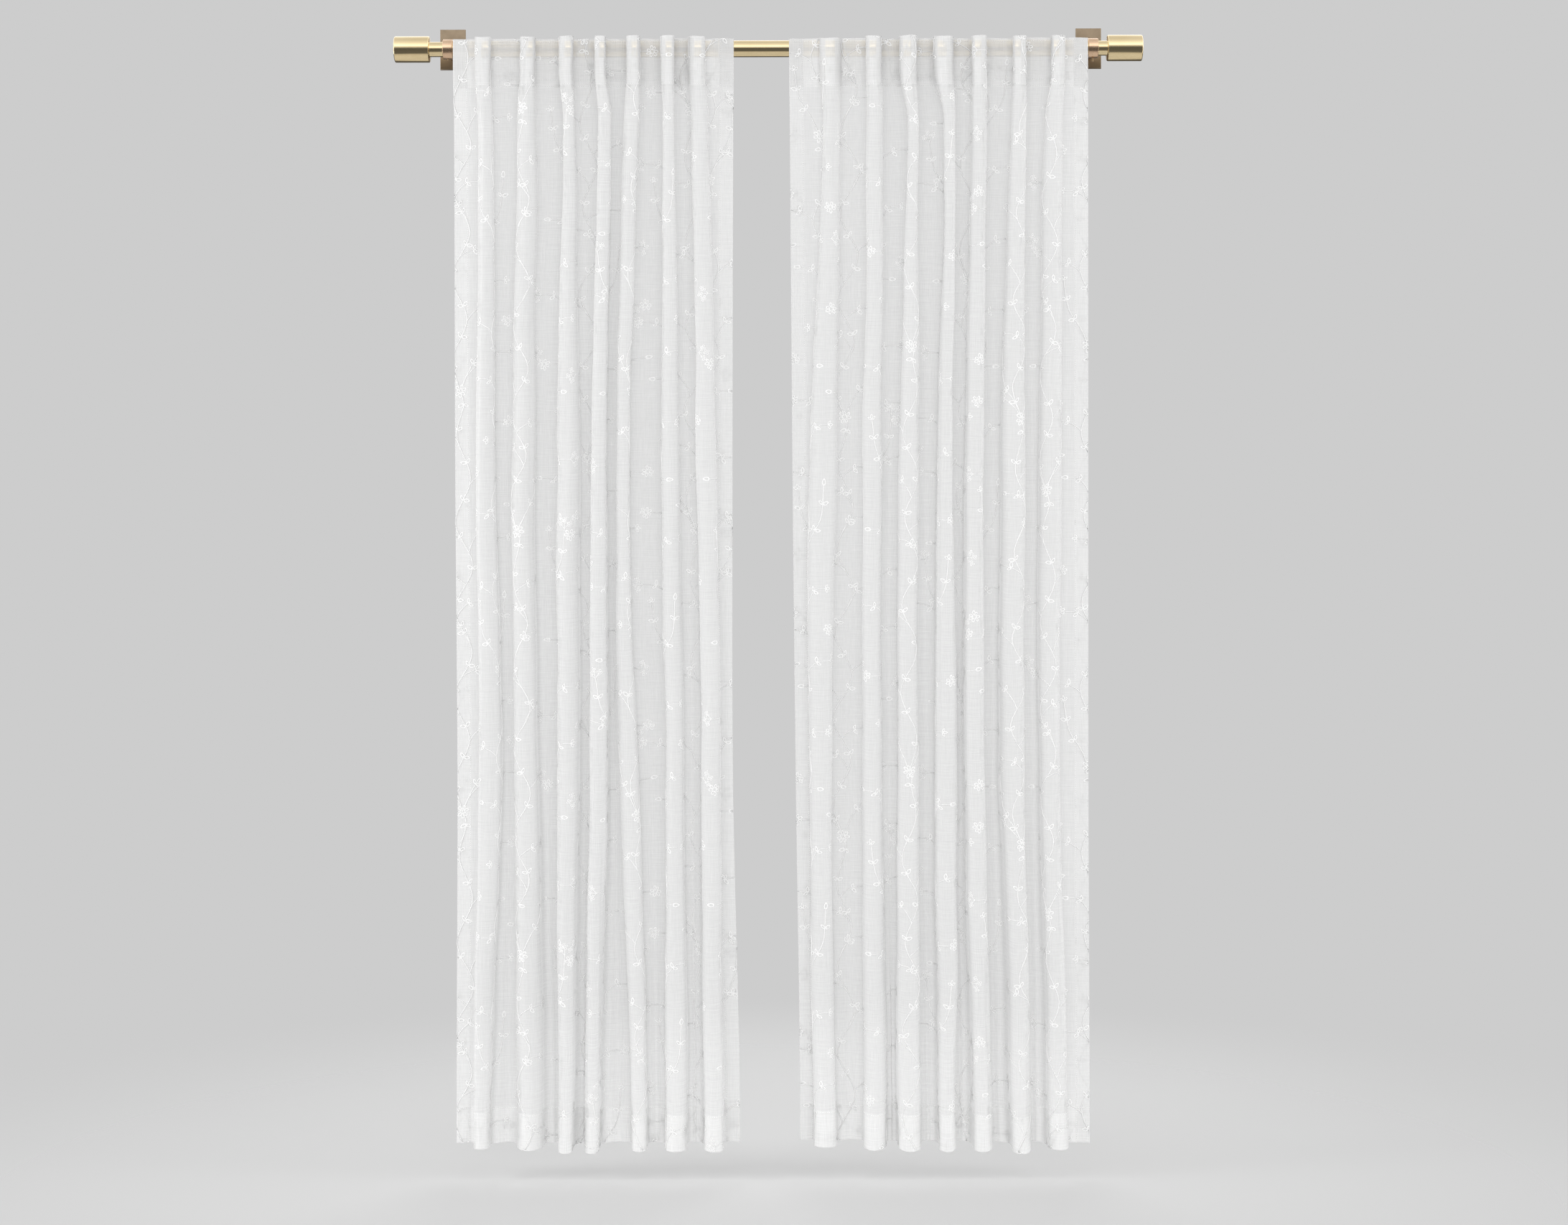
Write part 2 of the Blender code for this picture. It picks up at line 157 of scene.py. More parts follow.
def grain(graph, x, y, z, detail):
    place = graph.get("ShaderNodeCombineXYZ", None, {"X": x, "Y": y, "Z": z})
    return graph.get("ShaderNodeTexNoise", {"noise_dimensions": "3D"},
                     {"Vector": place, "Scale": 1.0, "Detail": detail})


def relief(graph, strength, distance, height):
    return graph.get("ShaderNodeBump", None, {"Strength": strength, "Distance": distance, "Height": height})


def linkObject(name, data, material=None):
    if material is not None:
        data.materials.clear()
        data.materials.append(material)
    piece = bpy.data.objects.new(name, data)
    bpy.context.scene.collection.objects.link(piece)
    return piece


def meshFrom(bm, name):
    mesh = bpy.data.meshes.new(name)
    bm.to_mesh(mesh)
    bm.free()
    return mesh


# A plain mesh of what an object's modifiers make
def evaluatedMesh(piece):
    depsgraph = bpy.context.evaluated_depsgraph_get()
    return bpy.data.meshes.new_from_object(piece.evaluated_get(depsgraph), depsgraph=depsgraph)


def runTree(name, tree, mesh, values):
    source = linkObject(name + "Source", mesh)
    modifier = source.modifiers.new("nodes", "NODES")
    modifier.node_group = tree
    for item in tree.interface.items_tree:
        if item.in_out == "INPUT" and item.name in values:
            modifier[item.identifier] = values[item.name]
    bpy.context.view_layer.update()
    made = evaluatedMesh(source)
    source.modifiers.remove(modifier)
    bpy.data.objects.remove(source)
    made.shade_smooth()
    return linkObject(name, made)


# The cloth's outline and folds: the part's own sizes, cut finer

clothSizes = {
    "width": 1321.0, "length": 2133.6, "headingDepth": 95.0, "hemDepth": 70.0, "sideHem": 28.0,
    "headingStand": 15.6,  # the heading's top above the rod's axis
    "flatFront": 21.5,  # the flats' middle plane in front of the rod's axis
    "topDrop": 6.0, "tabs": 8, "tabInset": 24.0,
    "turnGap": 1.1, "sideGap": 0.7,  # from the face to the layer turned behind it
    "columnStep": 3.5, "rowStep": 14.0, "edgeRoom": 2.0, "leastStep": 0.15,
    "seamInset": 1.0, "seamRows": (-3.0, -1.2, 0.0, 1.2, 3.0),
    "flankSteps": 10, "frontSteps": 10, "flatSteps": 12, "solveSteps": 8, "deepestFold": 160.0,
}
tabPitch = (clothSizes["width"] - 2 * clothSizes["tabInset"]) / (clothSizes["tabs"] - 1)
cutWidth = clothSizes["width"] + 2 * clothSizes["sideHem"]
cutLength = clothSizes["length"] + clothSizes["headingDepth"] + clothSizes["hemDepth"]

# How the folds and the cloth stray from the tables, in mm
drape = {
    "sway": 3.2, "swayScale": (0.004, 210.0, 0.013),
    "swell": 0.10, "swellScale": (0.021, 150.0, 4.7),  # a share of the fold's width
    "freeFrom": 160.0,  # both are full below this depth
    "hangGain": 1.6, "creaseGain": 1.45, "creaseEnds": 0.15, "slopeReach": 1.5,
    "ripples": ((17.0, 95.0, 1.3, 0.55), (34.0, 420.0, 7.9, 1.5), (7.0, 46.0, 3.1, 0.18)),  # size, seed, rise
    "flatShare": 0.35,  # how much of a ripple the flats have
    "seamDip": 0.35, "seamHalf": 1.8,
    "edgeWaves": ((31.0, 2.0, 5.5, 1.3), (24.0, 9.0, 2.5, 1.5)),  # at the top edge and at the bottom edge
    "edgeFades": (25.0, 40.0),
}
levels = (60.0, 160.0, 864.0, 1444.0, 2100.0)
neckShare = (0.30, 0.40, 0.72, 0.82, 0.95)
cornerRadius = (4.0, 5.0, 8.0, 9.0, 11.0)
flatBow = (0.0, 0.5, 3.0, 4.0, 6.0)
footTuck = 0.2
flankRise = 0.35

# Place along the rod and width at the five levels, then the front's lean and drop at the hem
Fold = namedtuple("Fold", "heading waist middle low hem lean drop")
leftFolds = (
    Fold((-548, 31), (-543, 29), (-543, 36), (-537, 45), (-553, 29), lean=0, drop=0),
    Fold((-462, 29), (-463, 36), (-472, 45), (-467, 43), (-461, 51), lean=-8, drop=5),
    Fold((-388, 29), (-382, 23), (-385, 44), (-387, 39), (-391, 27), lean=-7, drop=7),
    Fold((-322, 21), (-313, 25), (-326, 28), (-327, 33), (-341, 26), lean=-6, drop=9),
    Fold((-259, 26), (-263, 29), (-281, 24), (-269, 35), (-250, 29), lean=2, drop=6),
    Fold((-193, 26), (-192, 22), (-188, 36), (-182, 36), (-182, 41), lean=0, drop=6),
    Fold((-137, 33), (-130, 33), (-120, 37), (-112, 36), (-109, 37), lean=7, drop=6),
)
rightFolds = (
    Fold((120, 43), (124, 33), (103, 51), (98, 41), (105, 44), lean=0, drop=2),
    Fold((202, 30), (206, 30), (197, 35), (196, 39), (201, 43), lean=-3, drop=8),
    Fold((268, 34), (276, 19), (268, 40), (265, 38), (265, 47), lean=0, drop=8),
    Fold((336, 39), (348, 22), (337, 29), (338, 41), (338, 31), lean=3, drop=7),
    Fold((405, 29), (404, 29), (395, 35), (394, 37), (406, 35), lean=8, drop=7),
    Fold((482, 25), (480, 28), (467, 46), (466, 45), (480, 38), lean=8, drop=11),
    Fold((557, 26), (548, 35), (540, 43), (539, 37), (551, 39), lean=7, drop=3),
)
Panel = namedtuple("Panel", "folds leftEdge rightEdge cornerLift")
panels = {
    "left": Panel(leftFolds, (-610, -608, -607, -604, -607), (-67, -68, -71, -71, -59), (0.0, 0.7)),
    "right": Panel(rightFolds, (40, 41, 45, 50, 57), (618, 618, 617, 616, 617), (5.6, -2.2)),
}

# Soft creases drawn on the cloth, under the number of the fold that they lie on. Each runs from one
# place to another, given as the distance across the cloth from the fold's middle and the depth below the top
# edge, with its half width and its rise.
creases = {
    "left": {
        1: ((-9, 35, 7, 92, 4, 1.1), (12, 110, 4, 190, 5, -1.3), (16, 420, 18, 1300, 7, -1.6)),
        2: ((8, 30, -4, 88, 5, -1.0), (3, 105, 6, 220, 5, 1.1), (14, 300, 20, 1250, 8, -1.9),
            (-6, 1250, 10, 2040, 8, -1.2)),
        3: ((12, 38, -2, 84, 4, 1.5), (-2, 84, 10, 118, 4, -1.6), (6, 620, -8, 1050, 7, -1.3),
            (-9, 1500, 7, 2000, 6, 1.3)),
        4: ((-8, 20, 7, 76, 4, 1.3), (7, 80, -6, 150, 4, -2.0), (-6, 130, 8, 255, 4, 2.1),
            (8, 150, -4, 240, 4, -1.7), (12, 1420, 17, 1960, 5, -2.3)),
        5: ((3, 92, -7, 130, 5, -1.2), (14, 700, 22, 1500, 7, -2.0)),
        6: ((-7, 105, 6, 170, 5, -1.7), (-3, 480, 8, 900, 7, 1.2), (10, 1300, 4, 2050, 8, -1.4)),
        7: ((9, 68, -2, 104, 5, -1.9), (-4, 108, 5, 190, 5, 1.9), (12, 190, 8, 330, 6, -1.3),
            (-9, 900, 4, 1700, 8, -1.3)),
    },
    "right": {
        1: ((14, 92, 13, 300, 4, -2.0), (-12, 96, -15, 240, 7, 1.1), (6, 400, -10, 1100, 9, -1.7)),
        2: ((-4, 92, 6, 160, 5, -1.4), (8, 500, 11, 1200, 7, -1.3)),
        3: ((-14, 22, 9, 98, 5, 1.9), (9, 100, -5, 150, 5, -2.0), (-6, 170, 4, 300, 5, 1.3),
            (3, 900, -6, 1600, 8, -1.4)),
        4: ((-9, 60, 4, 104, 5, 1.7), (7, 104, 2, 175, 5, -1.9), (-13, 380, -13, 1500, 5, -1.8)),
        5: ((-9, 95, 7, 130, 5, -1.3), (-11, 300, -1, 375, 4, -2.3), (9, 290, 0, 375, 4, -2.1),
            (2, 560, 4, 1300, 5, -2.1), (12, 1790, 10, 1960, 3, -1.8)),
        6: ((6, 98, 8, 300, 5, -1.5), (-10, 600, -3, 1000, 7, 1.1), (7, 1250, 9, 1760, 6, -2.2),
            (9, 1500, -6, 1640, 5, 1.7), (5, 1780, -4, 2040, 6, -1.3)),
        7: ((-6, 96, 4, 160, 5, -1.6), (9, 250, 6, 420, 6, 1.1), (12, 1400, 2, 1600, 5, -2.2),
            (2, 1600, 13, 1800, 5, -2.0), (16, 1690, 12, 2040, 6, 1.6)),
    },
}


def alongLevels(values, depth):
    if depth <= levels[0]:
        return values[0]
    if depth >= levels[-1]:
        return values[-1]
    last = len(levels) - 1
    step = max(index for index in range(last) if levels[index] <= depth)
    slopes = []
    for index in (step, step + 1):
        before = max(index - 1, 0)
        after = min(index + 1, last)
        slopes.append((values[after] - values[before]) / (levels[after] - levels[before]))
    if step == 0:
        slopes[0] = 0.0
    if step + 1 == last:
        slopes[1] = 0.0
    span = levels[step + 1] - levels[step]
    t = (depth - levels[step]) / span
    start = (2 * t ** 3 - 3 * t ** 2 + 1) * values[step] + (t ** 3 - 2 * t ** 2 + t) * span * slopes[0]
    end = (3 * t ** 2 - 2 * t ** 3) * values[step + 1] + (t ** 3 - t ** 2) * span * slopes[1]
    return start + end


def bezier(a, b, c, d, t):
    u = 1.0 - t
    weights = (u ** 3, 3 * u * u * t, 3 * u * t * t, t ** 3)
    return tuple(sum(w * p[axis] for w, p in zip(weights, (a, b, c, d))) for axis in (0, 1))


def wander(x, y, z):
    return noise.noise(Vector((x, y, z)))


# One forward fold from its left foot to its right foot, as (along the rod, forward) from the neck's middle
def foldSection(fold, reach, flankSteps, frontSteps):
    radius, neck, corner, lean = fold["width"] / 2, fold["neck"] / 2, fold["corner"], fold["lean"]
    shoulder = reach - radius
    halves = []
    for side in (-1.0, 1.0):
        bends = ((side * (neck + corner), 0.0), (side * (neck - footTuck * corner), 0.0),
                 (side * radius + lean, flankRise * shoulder), (side * radius + lean, shoulder))
        halves.append([bezier(*bends, step / flankSteps) for step in range(flankSteps + 1)])
    front = []
    for step in range(1, 2 * frontSteps):
        angle = math.pi * step / (2 * frontSteps)
        front.append((lean - radius * math.cos(angle), shoulder + radius * math.sin(angle)))
    return halves[0] + front + halves[1][::-1]


# How far forward a fold comes when it takes up the given length of cloth
def foldReach(fold, cloth):
    low, high = fold["width"] / 2 + 1.0, clothSizes["deepestFold"]
    fine = clothSizes["solveSteps"]
    for _ in range(16):
        middle = (low + high) / 2
        outline = foldSection(fold, middle, fine, fine)
        if sum(math.dist(a, b) for a, b in zip(outline, outline[1:])) < cloth:
            low = middle
        else:
            high = middle
    return (low + high) / 2


def foldsAt(panel, depth):
    sizes = clothSizes
    leftEdge, rightEdge, share, corner = (
        alongLevels(values, depth) for values in (panel.leftEdge, panel.rightEdge, neckShare, cornerRadius))
    below = min(max((depth - levels[1]) / (levels[-1] - levels[1]), 0.0), 1.0)
    free = min(depth / drape["freeFrom"], 1.0)
    folds = []
    for fold in panel.folds:
        seed = fold.heading[0]
        centre, width = (alongLevels([place[k] for place in fold[:len(levels)]], depth) for k in (0, 1))
        wide, tall, own = drape["swayScale"]
        centre += drape["sway"] * wander(centre * wide, depth / tall, seed * own) * free
        own, tall, layer = drape["swellScale"]
        width *= 1.0 + drape["swell"] * wander(seed * own, depth / tall, layer) * free
        lean = fold.lean * below
        folds.append({"middle": centre - lean, "width": width, "neck": share * width, "corner": corner,
                      "lean": lean, "drop": sizes["topDrop"] + (fold.drop - sizes["topDrop"])
                      * depth / sizes["length"]})
    last = len(folds) - 1
    feet = [fold["neck"] / 2 + fold["corner"] for fold in folds]
    gaps = [(other["middle"] - feet[index + 1] - fold["middle"] - feet[index]) / 2
            for index, (fold, other) in enumerate(zip(folds, folds[1:]))]
    for index, fold in enumerate(folds):
        before = gaps[index - 1] if index else fold["middle"] - feet[index] - leftEdge
        after = gaps[index] if index < last else rightEdge - fold["middle"] - feet[index]
        fold["cloth"] = tabPitch + (sizes["tabInset"] if index in (0, last) else 0.0)
        fold["reach"] = foldReach(fold, fold["cloth"] - before - after)
    return leftEdge, rightEdge, folds


# The cloth at one depth: its run from the left edge with the place, drop and share of the reach there
def panelSection(panel, depth):
    sizes = clothSizes
    leftEdge, rightEdge, folds = foldsAt(panel, depth)
    bow = alongLevels(flatBow, depth)
    steps = sizes["flatSteps"]
    points = []
    joints = [0]
    start = leftEdge
    for index in range(len(folds) + 1):
        atEdge = index in (0, len(folds))
        if index == len(folds):
            end = rightEdge
        else:
            fold = folds[index]
            end = fold["middle"] - fold["neck"] / 2 - fold["corner"]
        for step in range(steps + 1):
            t = step / steps
            back = 0.0 if atEdge else bow * (0.5 - 0.5 * math.cos(2 * math.pi * t))
            if not atEdge and step * 2 == steps:
                joints.append(len(points))
            points.append((start + (end - start) * t, back - sizes["flatFront"], 0.0, 0.0))
        if index == len(folds):
            break
        outline = foldSection(fold, fold["reach"], sizes["flankSteps"], sizes["frontSteps"])
        for x, forward in outline[1:-1]:
            share = forward / fold["reach"]
            hang = share ** (1.0 + drape["hangGain"] * depth / sizes["length"])
            points.append((fold["middle"] + x, -sizes["flatFront"] - forward, fold["drop"] * hang, share))
        start = fold["middle"] + fold["neck"] / 2 + fold["corner"]
    joints.append(len(points) - 1)
    line = np.array(points)
    lengths = np.hypot(np.diff(line[:, 0]), np.diff(line[:, 1]))
    run = np.concatenate(([0.0], np.cumsum(lengths)))
    cloth = np.zeros(len(run))
    begin = 0.0
    for first, last, fold in zip(joints, joints[1:], folds):
        scale = fold["cloth"] / (run[last] - run[first])
        cloth[first:last + 1] = begin + (run[first:last + 1] - run[first]) * scale
        begin += fold["cloth"]
    return cloth, line


# Where a place on the cut cloth lands once its edges are turned behind: (place on the face, distance back)
def turnedPlace(cut, length, gap):
    radius = gap / 2
    quarter = math.pi * radius / 2
    near = min(cut, length - cut)
    if near >= quarter:
        place, back = radius + near - quarter, 0.0
    elif near > -quarter:
        place = radius - radius * math.cos(near / radius)
        back = radius - radius * math.sin(near / radius)
    else:
        place, back = radius - quarter - near, gap
    return (place, back) if cut <= length - cut else (length - place, back)


def spread(start, span, count):
    return [start + span * k / count for k in range(count + 1)]


# Where the cloth is cut into rows or columns, closer together around its two turned edges
def cutLines(length, before, after, step, gap, extra=()):
    room = clothSizes["edgeRoom"]
    turn = [math.pi * gap / 4 * k / 2 for k in range(-2, 3)]
    lines = spread(-before, before - room, max(1, round(before / step))) + turn
    lines += spread(room, length - 2 * room, round((length - 2 * room) / step))
    lines += [length - value for value in reversed(turn)]
    lines += spread(length + room, after - room, max(1, round(after / step)))
    lines = sorted(lines + list(extra))
    kept = [lines[0]]
    for value in lines[1:]:
        if value - kept[-1] > clothSizes["leastStep"]:
            kept.append(value)
    return kept


def creaseHeight(side, across, depth):
    height = np.zeros_like(across)
    for number, rows in creases[side].items():
        middle = clothSizes["tabInset"] + tabPitch * (number - 0.5)
        for across1, y1, across2, y2, half, rise in rows:
            x1, x2 = middle + across1, middle + across2
            dx, dy = x2 - x1, y2 - y1
            t = ((across - x1) * dx + (depth - y1) * dy) / (dx * dx + dy * dy)
            t = np.clip(t, -drape["creaseEnds"], 1.0 + drape["creaseEnds"])
            off = np.hypot(across - x1 - t * dx, depth - y1 - t * dy)
            fade = np.clip(1.0 - np.abs(2 * t - 1) ** 3, 0.0, 1.0)
            height += drape["creaseGain"] * rise * fade * np.exp(-(off / half) ** 2)
    return height


# A place on the cut cloth in its own flat map
def mapPlace(across, up):
    sizes = clothSizes
    return (across + sizes["sideHem"]) / cutWidth, (up + sizes["length"] + sizes["hemDepth"]) / cutLength


def buildPanel(side, material):
    sizes = clothSizes
    width, length, hem = sizes["width"], sizes["length"], sizes["sideHem"]
    panel = panels[side]
    seamLines = (sizes["headingDepth"] - sizes["seamInset"], length - sizes["hemDepth"])
    seams = [seam + step for seam in seamLines for step in sizes["seamRows"]]
    rows = cutLines(length, sizes["headingDepth"], sizes["hemDepth"], sizes["rowStep"],
                    sizes["turnGap"], seams)
    inset = sizes["seamInset"]
    columns = cutLines(width, hem, hem, sizes["columnStep"],
                       sizes["sideGap"], (hem - inset, width - hem + inset))
    across, sideBack = np.array([turnedPlace(cut, width, sizes["sideGap"]) for cut in columns]).T
    reach = drape["slopeReach"]
    ahead, behind = (np.clip(across + nudge, 0, width) for nudge in (reach, -reach))
    vertices = []
    for cut in rows:
        depth, rowBack = turnedPlace(cut, length, sizes["turnGap"])
        cloth, line = panelSection(panel, depth)
        x, y, drop, share = (np.interp(across, cloth, line[:, k]) for k in range(4))
        runX, runY = (np.interp(ahead, cloth, line[:, k]) - np.interp(behind, cloth, line[:, k])
                      for k in (0, 1))
        size = np.hypot(runX, runY)
        height = creaseHeight(side, across, np.full_like(across, depth))
        ripple = np.array([sum(wander(a / wide, depth / tall, seed) * rise
                               for wide, tall, seed, rise in drape["ripples"]) for a in across])
        height += ripple * (drape["flatShare"] + (1.0 - drape["flatShare"]) * share)
        for seam in seamLines:
            height -= drape["seamDip"] * math.exp(-((depth - seam) / drape["seamHalf"]) ** 2)
        fades = [math.exp(-far / fade) for far, fade in zip((depth, length - depth), drape["edgeFades"])]
        waves = [(*wave, fade) for wave, fade in zip(drape["edgeWaves"], fades)]
        wave = np.array([sum(wander(a / wide, row, seed) * rise * fade
                             for wide, row, seed, rise, fade in waves) for a in across])
        lift = panel.cornerLift[0] + (panel.cornerLift[1] - panel.cornerLift[0]) * (
            (x - x.min()) / (x.max() - x.min()))
        z = sizes["headingStand"] - depth - drop + lift * depth / length + wave
        offset = height - rowBack - sideBack
        x = x + runY / size * offset
        y = y + -runX / size * offset
        vertices.extend(zip((x * mm).tolist(), (rodY + y * mm).tolist(), (rodZ + z * mm).tolist()))
    wide = len(columns)
    corners = [row * wide + column for row in range(len(rows) - 1) for column in range(wide - 1)]
    mesh = bpy.data.meshes.new("panel" + side.capitalize())
    mesh.from_pydata(vertices, [], [(k, k + wide, k + wide + 1, k + 1) for k in corners])
    places = np.array([mapPlace(cut, -rowCut) for rowCut in rows for cut in columns])
    used = np.zeros(len(mesh.loops), dtype=np.int32)
    mesh.loops.foreach_get("vertex_index", used)
    mesh.uv_layers.new(name="clothMap").data.foreach_set("uv", places[used].ravel())
    mesh.shade_smooth()
    mesh.update()
    return linkObject("voilePanel" + side.capitalize(), mesh, material)


# Materials

voileLook = {
    # The hem's own lighter white is painted light, making up for the shade its two layers cast on each other.
    "white": (0.80, 0.80, 0.797), "shade": (0.71, 0.711, 0.71), "hemPaintedLight": (0.86, 0.86, 0.857),
    "cover": 0.475,  # how much of the view one layer hides
    "headingCover": 0.055,  # more in the heading, which is pressed double
    "yarnCover": 0.30, "slubCover": 0.10,
    "coverLimits": (0.08, 0.97),
    "yarn": 1.1, "yarnLength": 34.0, "slub": 2.6, "slubLength": 80.0, "cloud": 160.0, "cloudLength": 260.0,
    "tone": 0.35, "yarnTone": 0.7, "slubTone": 0.4, "cloudTone": 0.3,
}


def voileMaterial(name, thinner=0.0):
    look = voileLook
    sizes = clothSizes
    material, graph = newMaterial(name)
    across, down, _ = graph.axes(graph.get("ShaderNodeUVMap", {"uv_map": "clothMap"}))
    across = across * cutWidth
    down = down * cutLength
    warp = grain(graph, across / look["yarn"], down / look["yarnLength"], 0.0, 1.0)
    weft = grain(graph, across / look["yarnLength"], down / look["yarn"], 5.0, 1.0)
    slubDown = grain(graph, across / look["slub"], down / look["slubLength"], 9.0, 0.0)
    slubAcross = grain(graph, across / look["slubLength"], down / look["slub"], 14.0, 0.0)
    yarns = (warp + weft) * 0.5 - 0.5
    slubs = (slubDown + slubAcross) * 0.5 - 0.5
    inHeading = graph.maths("GREATER_THAN", down, sizes["length"] + sizes["hemDepth"] - sizes["headingDepth"])
    # Painted light: the hem's two layers get a lighter colour in place of the light scattered between them.
    hemLightMask = graph.maths("LESS_THAN", down, 2 * sizes["hemDepth"])
    cover = yarns * look["yarnCover"] + slubs * look["slubCover"] + (look["cover"] - thinner)
    cover = graph.clamp(cover + inHeading * look["headingCover"], *look["coverLimits"])
    cloud = grain(graph, across / look["cloud"], down / look["cloudLength"], 3.0, 1.0)
    tone = look["tone"] + yarns * look["yarnTone"] + slubs * look["slubTone"] + cloud * look["cloudTone"]
    single = mixColours(graph, graph.clamp(tone), look["shade"], look["white"])
    finishMaterial(graph, {
        "Base Color": mixColours(graph, hemLightMask * 0.5, single, look["hemPaintedLight"]),
        "Roughness": 0.92, "Specular IOR Level": 0.12, "Sheen Weight": 0.7, "Sheen Roughness": 0.3,
        "Alpha": cover, "Normal": relief(graph, 0.35, 0.0004, yarns + slubs)})
    return material


# The hollow colour is painted shade: the thread's twist is made darker in its grooves.
threadLook = {"white": (0.765, 0.765, 0.762), "hollow": (0.735, 0.735, 0.732), "twist": 2.2}  # twist in mm


def threadMaterial():
    look = threadLook
    material, graph = newMaterial("embroidery thread")
    run = graph.get("ShaderNodeAttribute", {"attribute_name": "threadRun"}, name="Fac")
    # The twist's grooves take the darker colour as painted shade.
    wave = graph.maths("SINE", run * (2000 * math.pi / look["twist"])) * 0.5 + 0.5
    finishMaterial(graph, {
        "Base Color": mixColours(graph, wave, look["hollow"], look["white"]),
        "Roughness": 0.75, "Specular IOR Level": 0.12, "Normal": relief(graph, 0.2, 0.0002, wave)})
    return material


metalLooks = {
    "satin brass": {"light": (0.84, 0.69, 0.43), "dark": (0.77, 0.62, 0.36), "rough": 0.15},
    "rosy brass": {"light": (0.80, 0.58, 0.40), "dark": (0.66, 0.45, 0.30), "rough": 0.27},
    # The plates' bronze is partly their own dark finish and partly painted shade, for where they stand
    # against the wall out of the light.
    "antique bronze": {"light": (0.37, 0.29, 0.205), "dark": (0.24, 0.185, 0.13), "rough": 0.42},
    "screw brass": {"light": (0.60, 0.45, 0.28), "dark": (0.38, 0.27, 0.17), "rough": 0.36},
}
brushing = {
    "fine": 2600.0, "coarse": 45.0, "tarnish": 38.0,  # how many to the metre
    "brushTone": 0.3, "tarnishTone": 1.3, "brushRough": 0.1, "tarnishRough": 0.14,
}


# Brushed around the rod's axis, with faint clouds of tarnish
def metalMaterial(name, brushAxis="X"):
    look = metalLooks[name]
    material, graph = newMaterial(name)
    parts = graph.axes(graph.get("ShaderNodeTexCoord", name="Object"))
    brush = grain(graph, *(part * brushing["fine" if axis == brushAxis else "coarse"]
                           for axis, part in zip("XYZ", parts)), 2.0)
    tarnish = grain(graph, *(part * brushing["tarnish"] for part in parts), 4.0)
    tone = graph.clamp(tarnish * brushing["tarnishTone"] + brush * brushing["brushTone"] - 0.3)
    finishMaterial(graph, {
        "Base Color": mixColours(graph, tone, look["dark"], look["light"]), "Metallic": 1.0,
        "Roughness": look["rough"] + (brush - 0.5) * brushing["brushRough"]
        + (0.5 - tarnish) * brushing["tarnishRough"],
        "Normal": relief(graph, 0.10, 0.00004, brush)})
    return material


voile = voileMaterial("sheer voile")
tabVoile = voileMaterial("tab voile", 0.195)
thread = threadMaterial()
satinBrass = metalMaterial("satin brass")
rosyBrass = metalMaterial("rosy brass")
bronzeAndPaintedShade = metalMaterial("antique bronze", "Z")
screwBrass = metalMaterial("screw brass", "Z")
print("materials made")

panelPieces = {side: buildPanel(side, voile) for side in panels}
for side, piece in panelPieces.items():
    print("panel", side, len(piece.data.polygons) * 2, "triangles")


# Back tabs: a grid wrapped along the tab's path by geometry nodes

tabSizes = {
    "width": 34.0, "seam": 8.0, "top": 2.5, "bottom": 84.0,
    "first": 110, "last": -40, "turn": 10,  # degrees around the rod
    "rodRadius": 15.875,
    "standoff": 1.0,  # from the rod's surface to the tab's middle
    "behind": 1.8,  # from the flats' middle plane to the tab sewn on behind them
    "columns": 9, "rows": 70, "ripple": 0.22,
}


def newTree(name, sockets):
    tree = bpy.data.node_groups.new(name, "GeometryNodeTree")
    tree.interface.new_socket("Geometry", in_out="INPUT", socket_type="NodeSocketGeometry")
    for label, kind, value in (*sockets, ("Material", "Material", None)):
        made = tree.interface.new_socket(label, in_out="INPUT", socket_type="NodeSocket" + kind)
        if value is not None:
            made.default_value = value
    tree.interface.new_socket("Geometry", in_out="OUTPUT", socket_type="NodeSocketGeometry")
    graph = Graph(tree)
    given = graph.add("NodeGroupInput")

    def take(label):
        return graph.wire(given, label)

    return tree, graph, take


# Every tree ends in the same two steps
def endTree(graph, take, geometry):
    real = graph.get("GeometryNodeRealizeInstances", None, {"Geometry": geometry})
    dressed = graph.get("GeometryNodeSetMaterial", None, {"Geometry": real, "Material": take("Material")})
    graph.add("NodeGroupOutput", None, {"Geometry": dressed})


def asCurve(graph, mesh):
    return graph.get("GeometryNodeMeshToCurve", None, {"Mesh": mesh})


def vectorMaths(graph, operation, sockets):
    return graph.get("ShaderNodeVectorMath", {"operation": operation}, sockets)


def movedTo(graph, geometry, place):
    return graph.get("GeometryNodeSetPosition", None, {"Geometry": geometry, "Position": place})


def storeValue(graph, geometry, name, value, kind, domain):
    return graph.get("GeometryNodeStoreNamedAttribute", {"data_type": kind, "domain": domain},
                     {"Geometry": geometry, "Name": name, "Value": value})


